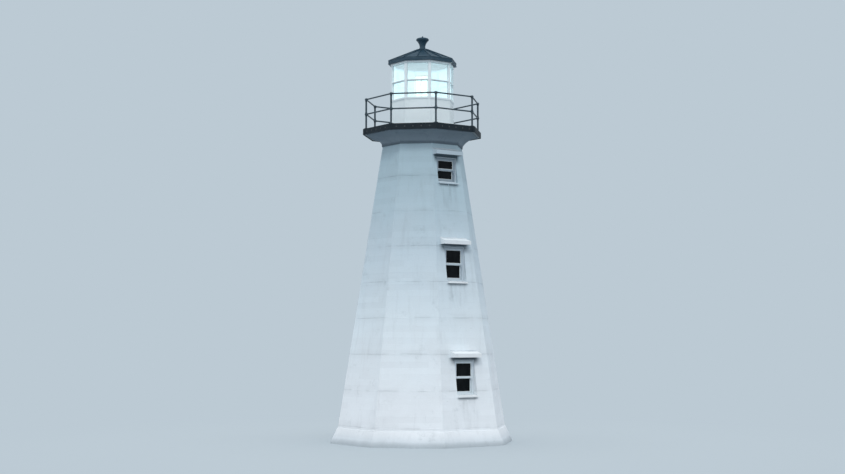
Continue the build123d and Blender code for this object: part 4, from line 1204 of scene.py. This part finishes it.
out = on_side(DOOR_SIDE, 0, 1, 0)
parts = [turned(knuckle, on_side(DOOR_SIDE, hinge_x, leaf_front + 0.009, hinge_levels), segments=12)]
knob_points = fittings[fittings[:, 1] > leaf_front + 0.045]
knob_x, knob_z = (knob_points[:, 0].min() + knob_points[:, 0].max()) / 2, (knob_points[:, 2].min() + knob_points[:, 2].max()) / 2
knob = [(0.017, 0.0), (0.015, 0.006), (0.010, 0.012), (0.009, 0.040), (0.016, 0.046), (0.026, 0.056), (0.0275, 0.064), (0.023, 0.074), (0.012, 0.079), (0, 0.080)]
parts.append(turned([(0, 0.0)] + knob, on_side(DOOR_SIDE, knob_x, leaf_front + 0.003, knob_z), out, 24))
plate_top, plate_foot = (on_side(DOOR_SIDE, knob_x, leaf_front + 0.001, knob_z + s * 0.085) for s in (1, -1))
parts.append(bars(plate_top, plate_foot, on_side(DOOR_SIDE, 1, 0, 0), rounded(0.05, 0.006, 0.002), ease=0.004, shrink=0.92))
parts.append(turned(dome(0.004, 0.002), on_side(DOOR_SIDE, knob_x, leaf_front + 0.004, knob_z + np.array([-0.075, 0.075])), out, 10))
piece("door_hardware", parts, door_brass, stands_for=["door_fittings"])
keyhole = [turned(dome(0.006, 0.001), on_side(DOOR_SIDE, knob_x, leaf_front + 0.0035, knob_z - 0.05), out, 12)]
keyhole.append(bars(on_side(DOOR_SIDE, knob_x, leaf_front + 0.004, knob_z - 0.05), on_side(DOOR_SIDE, knob_x, leaf_front + 0.004, knob_z - 0.066), on_side(DOOR_SIDE, 1, 0, 0), rounded(0.005, 0.001, 0.0004)))
piece("keyhole", keyhole, bolt_paint)

# %% Iron door of the lantern
hatch = seen_from("lantern_access_door", DOOR_SIDE)
hatch_low, hatch_high = hatch.min(0), hatch.max(0)
skin = hatch_high[1]
flat_bar = rounded(0.034, 0.007, 0.002)
iron = []
for level in (hatch_low[2] + 0.12, hatch_high[2] - 0.12):
    iron.append(bars(on_side(DOOR_SIDE, hatch_high[0] - 0.008, skin + 0.003, level), on_side(DOOR_SIDE, 0.02, skin + 0.003, level), (0, 0, 1), flat_bar, ease=0.012, shrink=0.5))
    iron.append(turned([(0, -0.03), (0.010, -0.03), (0.010, 0.03), (0, 0.03)], on_side(DOOR_SIDE, hatch_high[0] + 0.004, skin - 0.004, level), segments=12))
    iron.append(turned(dome(0.0065, 0.004), on_side(DOOR_SIDE, np.array([0.06, 0.13, 0.20]), skin + 0.006, level), out, 10))
    x = hatch_low[0] + 0.03
    iron.append(turned([(0, 0.0), (0.016, 0.0), (0.016, 0.012), (0.008, 0.018), (0, 0.018)], on_side(DOOR_SIDE, x, skin, level), out, 16))
    iron.append(bars(on_side(DOOR_SIDE, x, skin + 0.014, level + 0.01), on_side(DOOR_SIDE, x - 0.012, skin + 0.014, level - 0.10), on_side(DOOR_SIDE, 1, 0, 0), rounded(0.016, 0.009, 0.003), ease=0.012, shrink=0.6))
rim = [(0.0, skin - 0.002), (0.0, skin + 0.002), (0.004, skin + 0.004), (0.014, skin + 0.004), (0.018, skin - 0.002)]
iron.append(frame_ring(DOOR_SIDE, hatch_low + [0.004, 0, 0.004], hatch_high - [0.004, 0, 0.004], rim))
piece("lantern_door_ironwork", iron, lantern_paint)

# %% [markdown]
# ## Studio
# A pale floor that keeps the tower's shadow near its foot and melts into the background
# further out, broad sky light, and one soft sun near the camera's side. The background is a
# plain cool grey seen only by the camera and by reflections, so it puts no colour on the
# object. A lighthouse stands on dark rock, which is why its soffits and its cove look so dark
# from below. The floor is therefore pale to the camera but grey to the light that bounces off
# it.

# %% Floor
BACKDROP = srgb(188, 202, 212)
floor_paint = bpy.data.materials.new("floor")
floor_paint.use_nodes = True
t = Tree(floor_paint.node_tree)
t.tree.nodes.clear()
place = t.node("TexCoord").outputs["Object"]
distance = t.node("VectorMath", {0: place}, operation="LENGTH").outputs["Value"]
light = t.node("LightPath")
seen = t.math("ADD", light.outputs["Is Camera Ray"], light.outputs["Is Glossy Ray"])
seen = t.math("ADD", seen, light.outputs["Is Transmission Ray"], clamp=True)
share = t.math("MULTIPLY", t.ease(distance, 3.5, 13.0), seen)
matte_colour = t.mix(light.outputs["Is Camera Ray"], srgb(138, 148, 157), srgb(187, 197, 203))
matte = t.node("BsdfDiffuse", {"Color": matte_colour}).outputs[0]
glow = t.node("Emission", {"Color": BACKDROP}).outputs[0]
output = t.node("OutputMaterial")
t.put(output.inputs["Surface"], t.node("MixShader", {0: share, 1: matte, 2: glow}).outputs[0])
a = 2 * np.pi * np.arange(128) / 128
radii = np.array([0.0, 3, 6, 12, 30, 90, 400])[:, None]
floor_points = np.stack([radii * np.cos(a), radii * np.sin(a), 0 * radii * a], -1)
points, faces = grid(floor_points)
floor_mesh = bpy.data.meshes.new("floor")
floor_mesh.from_pydata(points.tolist(), [], faces.tolist())
floor_mesh.flip_normals() if floor_mesh.polygons[-1].normal.z < 0 else None
floor_mesh.materials.append(floor_paint)
floor = bpy.data.objects.new("floor", floor_mesh)
bpy.context.scene.collection.objects.link(floor)
floor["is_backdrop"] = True
print("floor reaches", radii.max(), "m")

# %% [markdown]
# The day is overcast, so the sides of the tower are nearly the same tone, and the dark places
# are those under ledges. An even sky does most of the lighting, and a weak sun only adds a hint
# of direction. Together they light a level white face just short of white.

# %% Sky and sun
SKY_LEVEL = 0.98
world = bpy.data.worlds.new("sky")
bpy.context.scene.world = world
world.use_nodes = True
t = Tree(world.node_tree)
t.tree.nodes.clear()
light = t.node("LightPath")
seen = t.math("ADD", light.outputs["Is Camera Ray"], light.outputs["Is Glossy Ray"])
seen = t.math("ADD", seen, light.outputs["Is Transmission Ray"], clamp=True)
sky_light = t.node("Background", {"Color": (0.93, 0.975, 1.02, 1), "Strength": SKY_LEVEL}).outputs[0]
backdrop = t.node("Background", {"Color": BACKDROP, "Strength": 1.0}).outputs[0]
output = t.node("OutputWorld")
t.put(output.inputs["Surface"], t.node("MixShader", {0: seen, 1: sky_light, 2: backdrop}).outputs[0])
SUN_AZIMUTH, SUN_HEIGHT = math.radians(5), math.radians(45)
sun_data = bpy.data.lights.new("sun", "SUN")
sun_data.energy, sun_data.angle, sun_data.color = 0.65, math.radians(13), (1.0, 0.985, 0.96)
sun = bpy.data.objects.new("sun", sun_data)
sun.rotation_euler = (math.pi / 2 - SUN_HEIGHT, 0, SUN_AZIMUTH)
bpy.context.scene.collection.objects.link(sun)
print("sky and sun set")

# %% [markdown]
# ## Camera
# The photograph was taken from about 38 m away and 2.7 m above the tower's foot, a little to
# the right of the blank front face. The camera stands there and looks at the tower's middle.
# The lens is as long as lets the tower fill most of the frame's height.

# %% Camera
CAMERA_DISTANCE, CAMERA_HEIGHT, CAMERA_AZIMUTH = 37.9, 2.66, math.radians(9.5)
FRAME_WIDTH, FRAME_HEIGHT, FILL = 845, 474, 0.86
camera_data = bpy.data.cameras.new("camera")
camera = bpy.data.objects.new("camera", camera_data)
camera.location = (CAMERA_DISTANCE * math.sin(CAMERA_AZIMUTH), -CAMERA_DISTANCE * math.cos(CAMERA_AZIMUTH), CAMERA_HEIGHT)
aim = (cad_low + cad_high) / 2
camera.rotation_mode = "QUATERNION"
camera.rotation_quaternion = (aim - camera.location).to_track_quat("-Z", "Y")
camera_data.sensor_width = 36
camera_data.lens = FILL * 36 * FRAME_HEIGHT / FRAME_WIDTH * CAMERA_DISTANCE / cad_high.z
camera_data.clip_end = 2000
bpy.context.scene.collection.objects.link(camera)
bpy.context.scene.camera = camera
print("lens", round(camera_data.lens, 1), "mm")

# %% [markdown]
# ## Finish
# The view transform is the plain one, so colours render as written. The size of the
# dressed tower is printed at the end.

# %% Print the size and finish
bpy.context.scene.view_settings.view_transform = "Standard"
low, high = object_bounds()
print("size", [round(v, 4) for v in high - low])
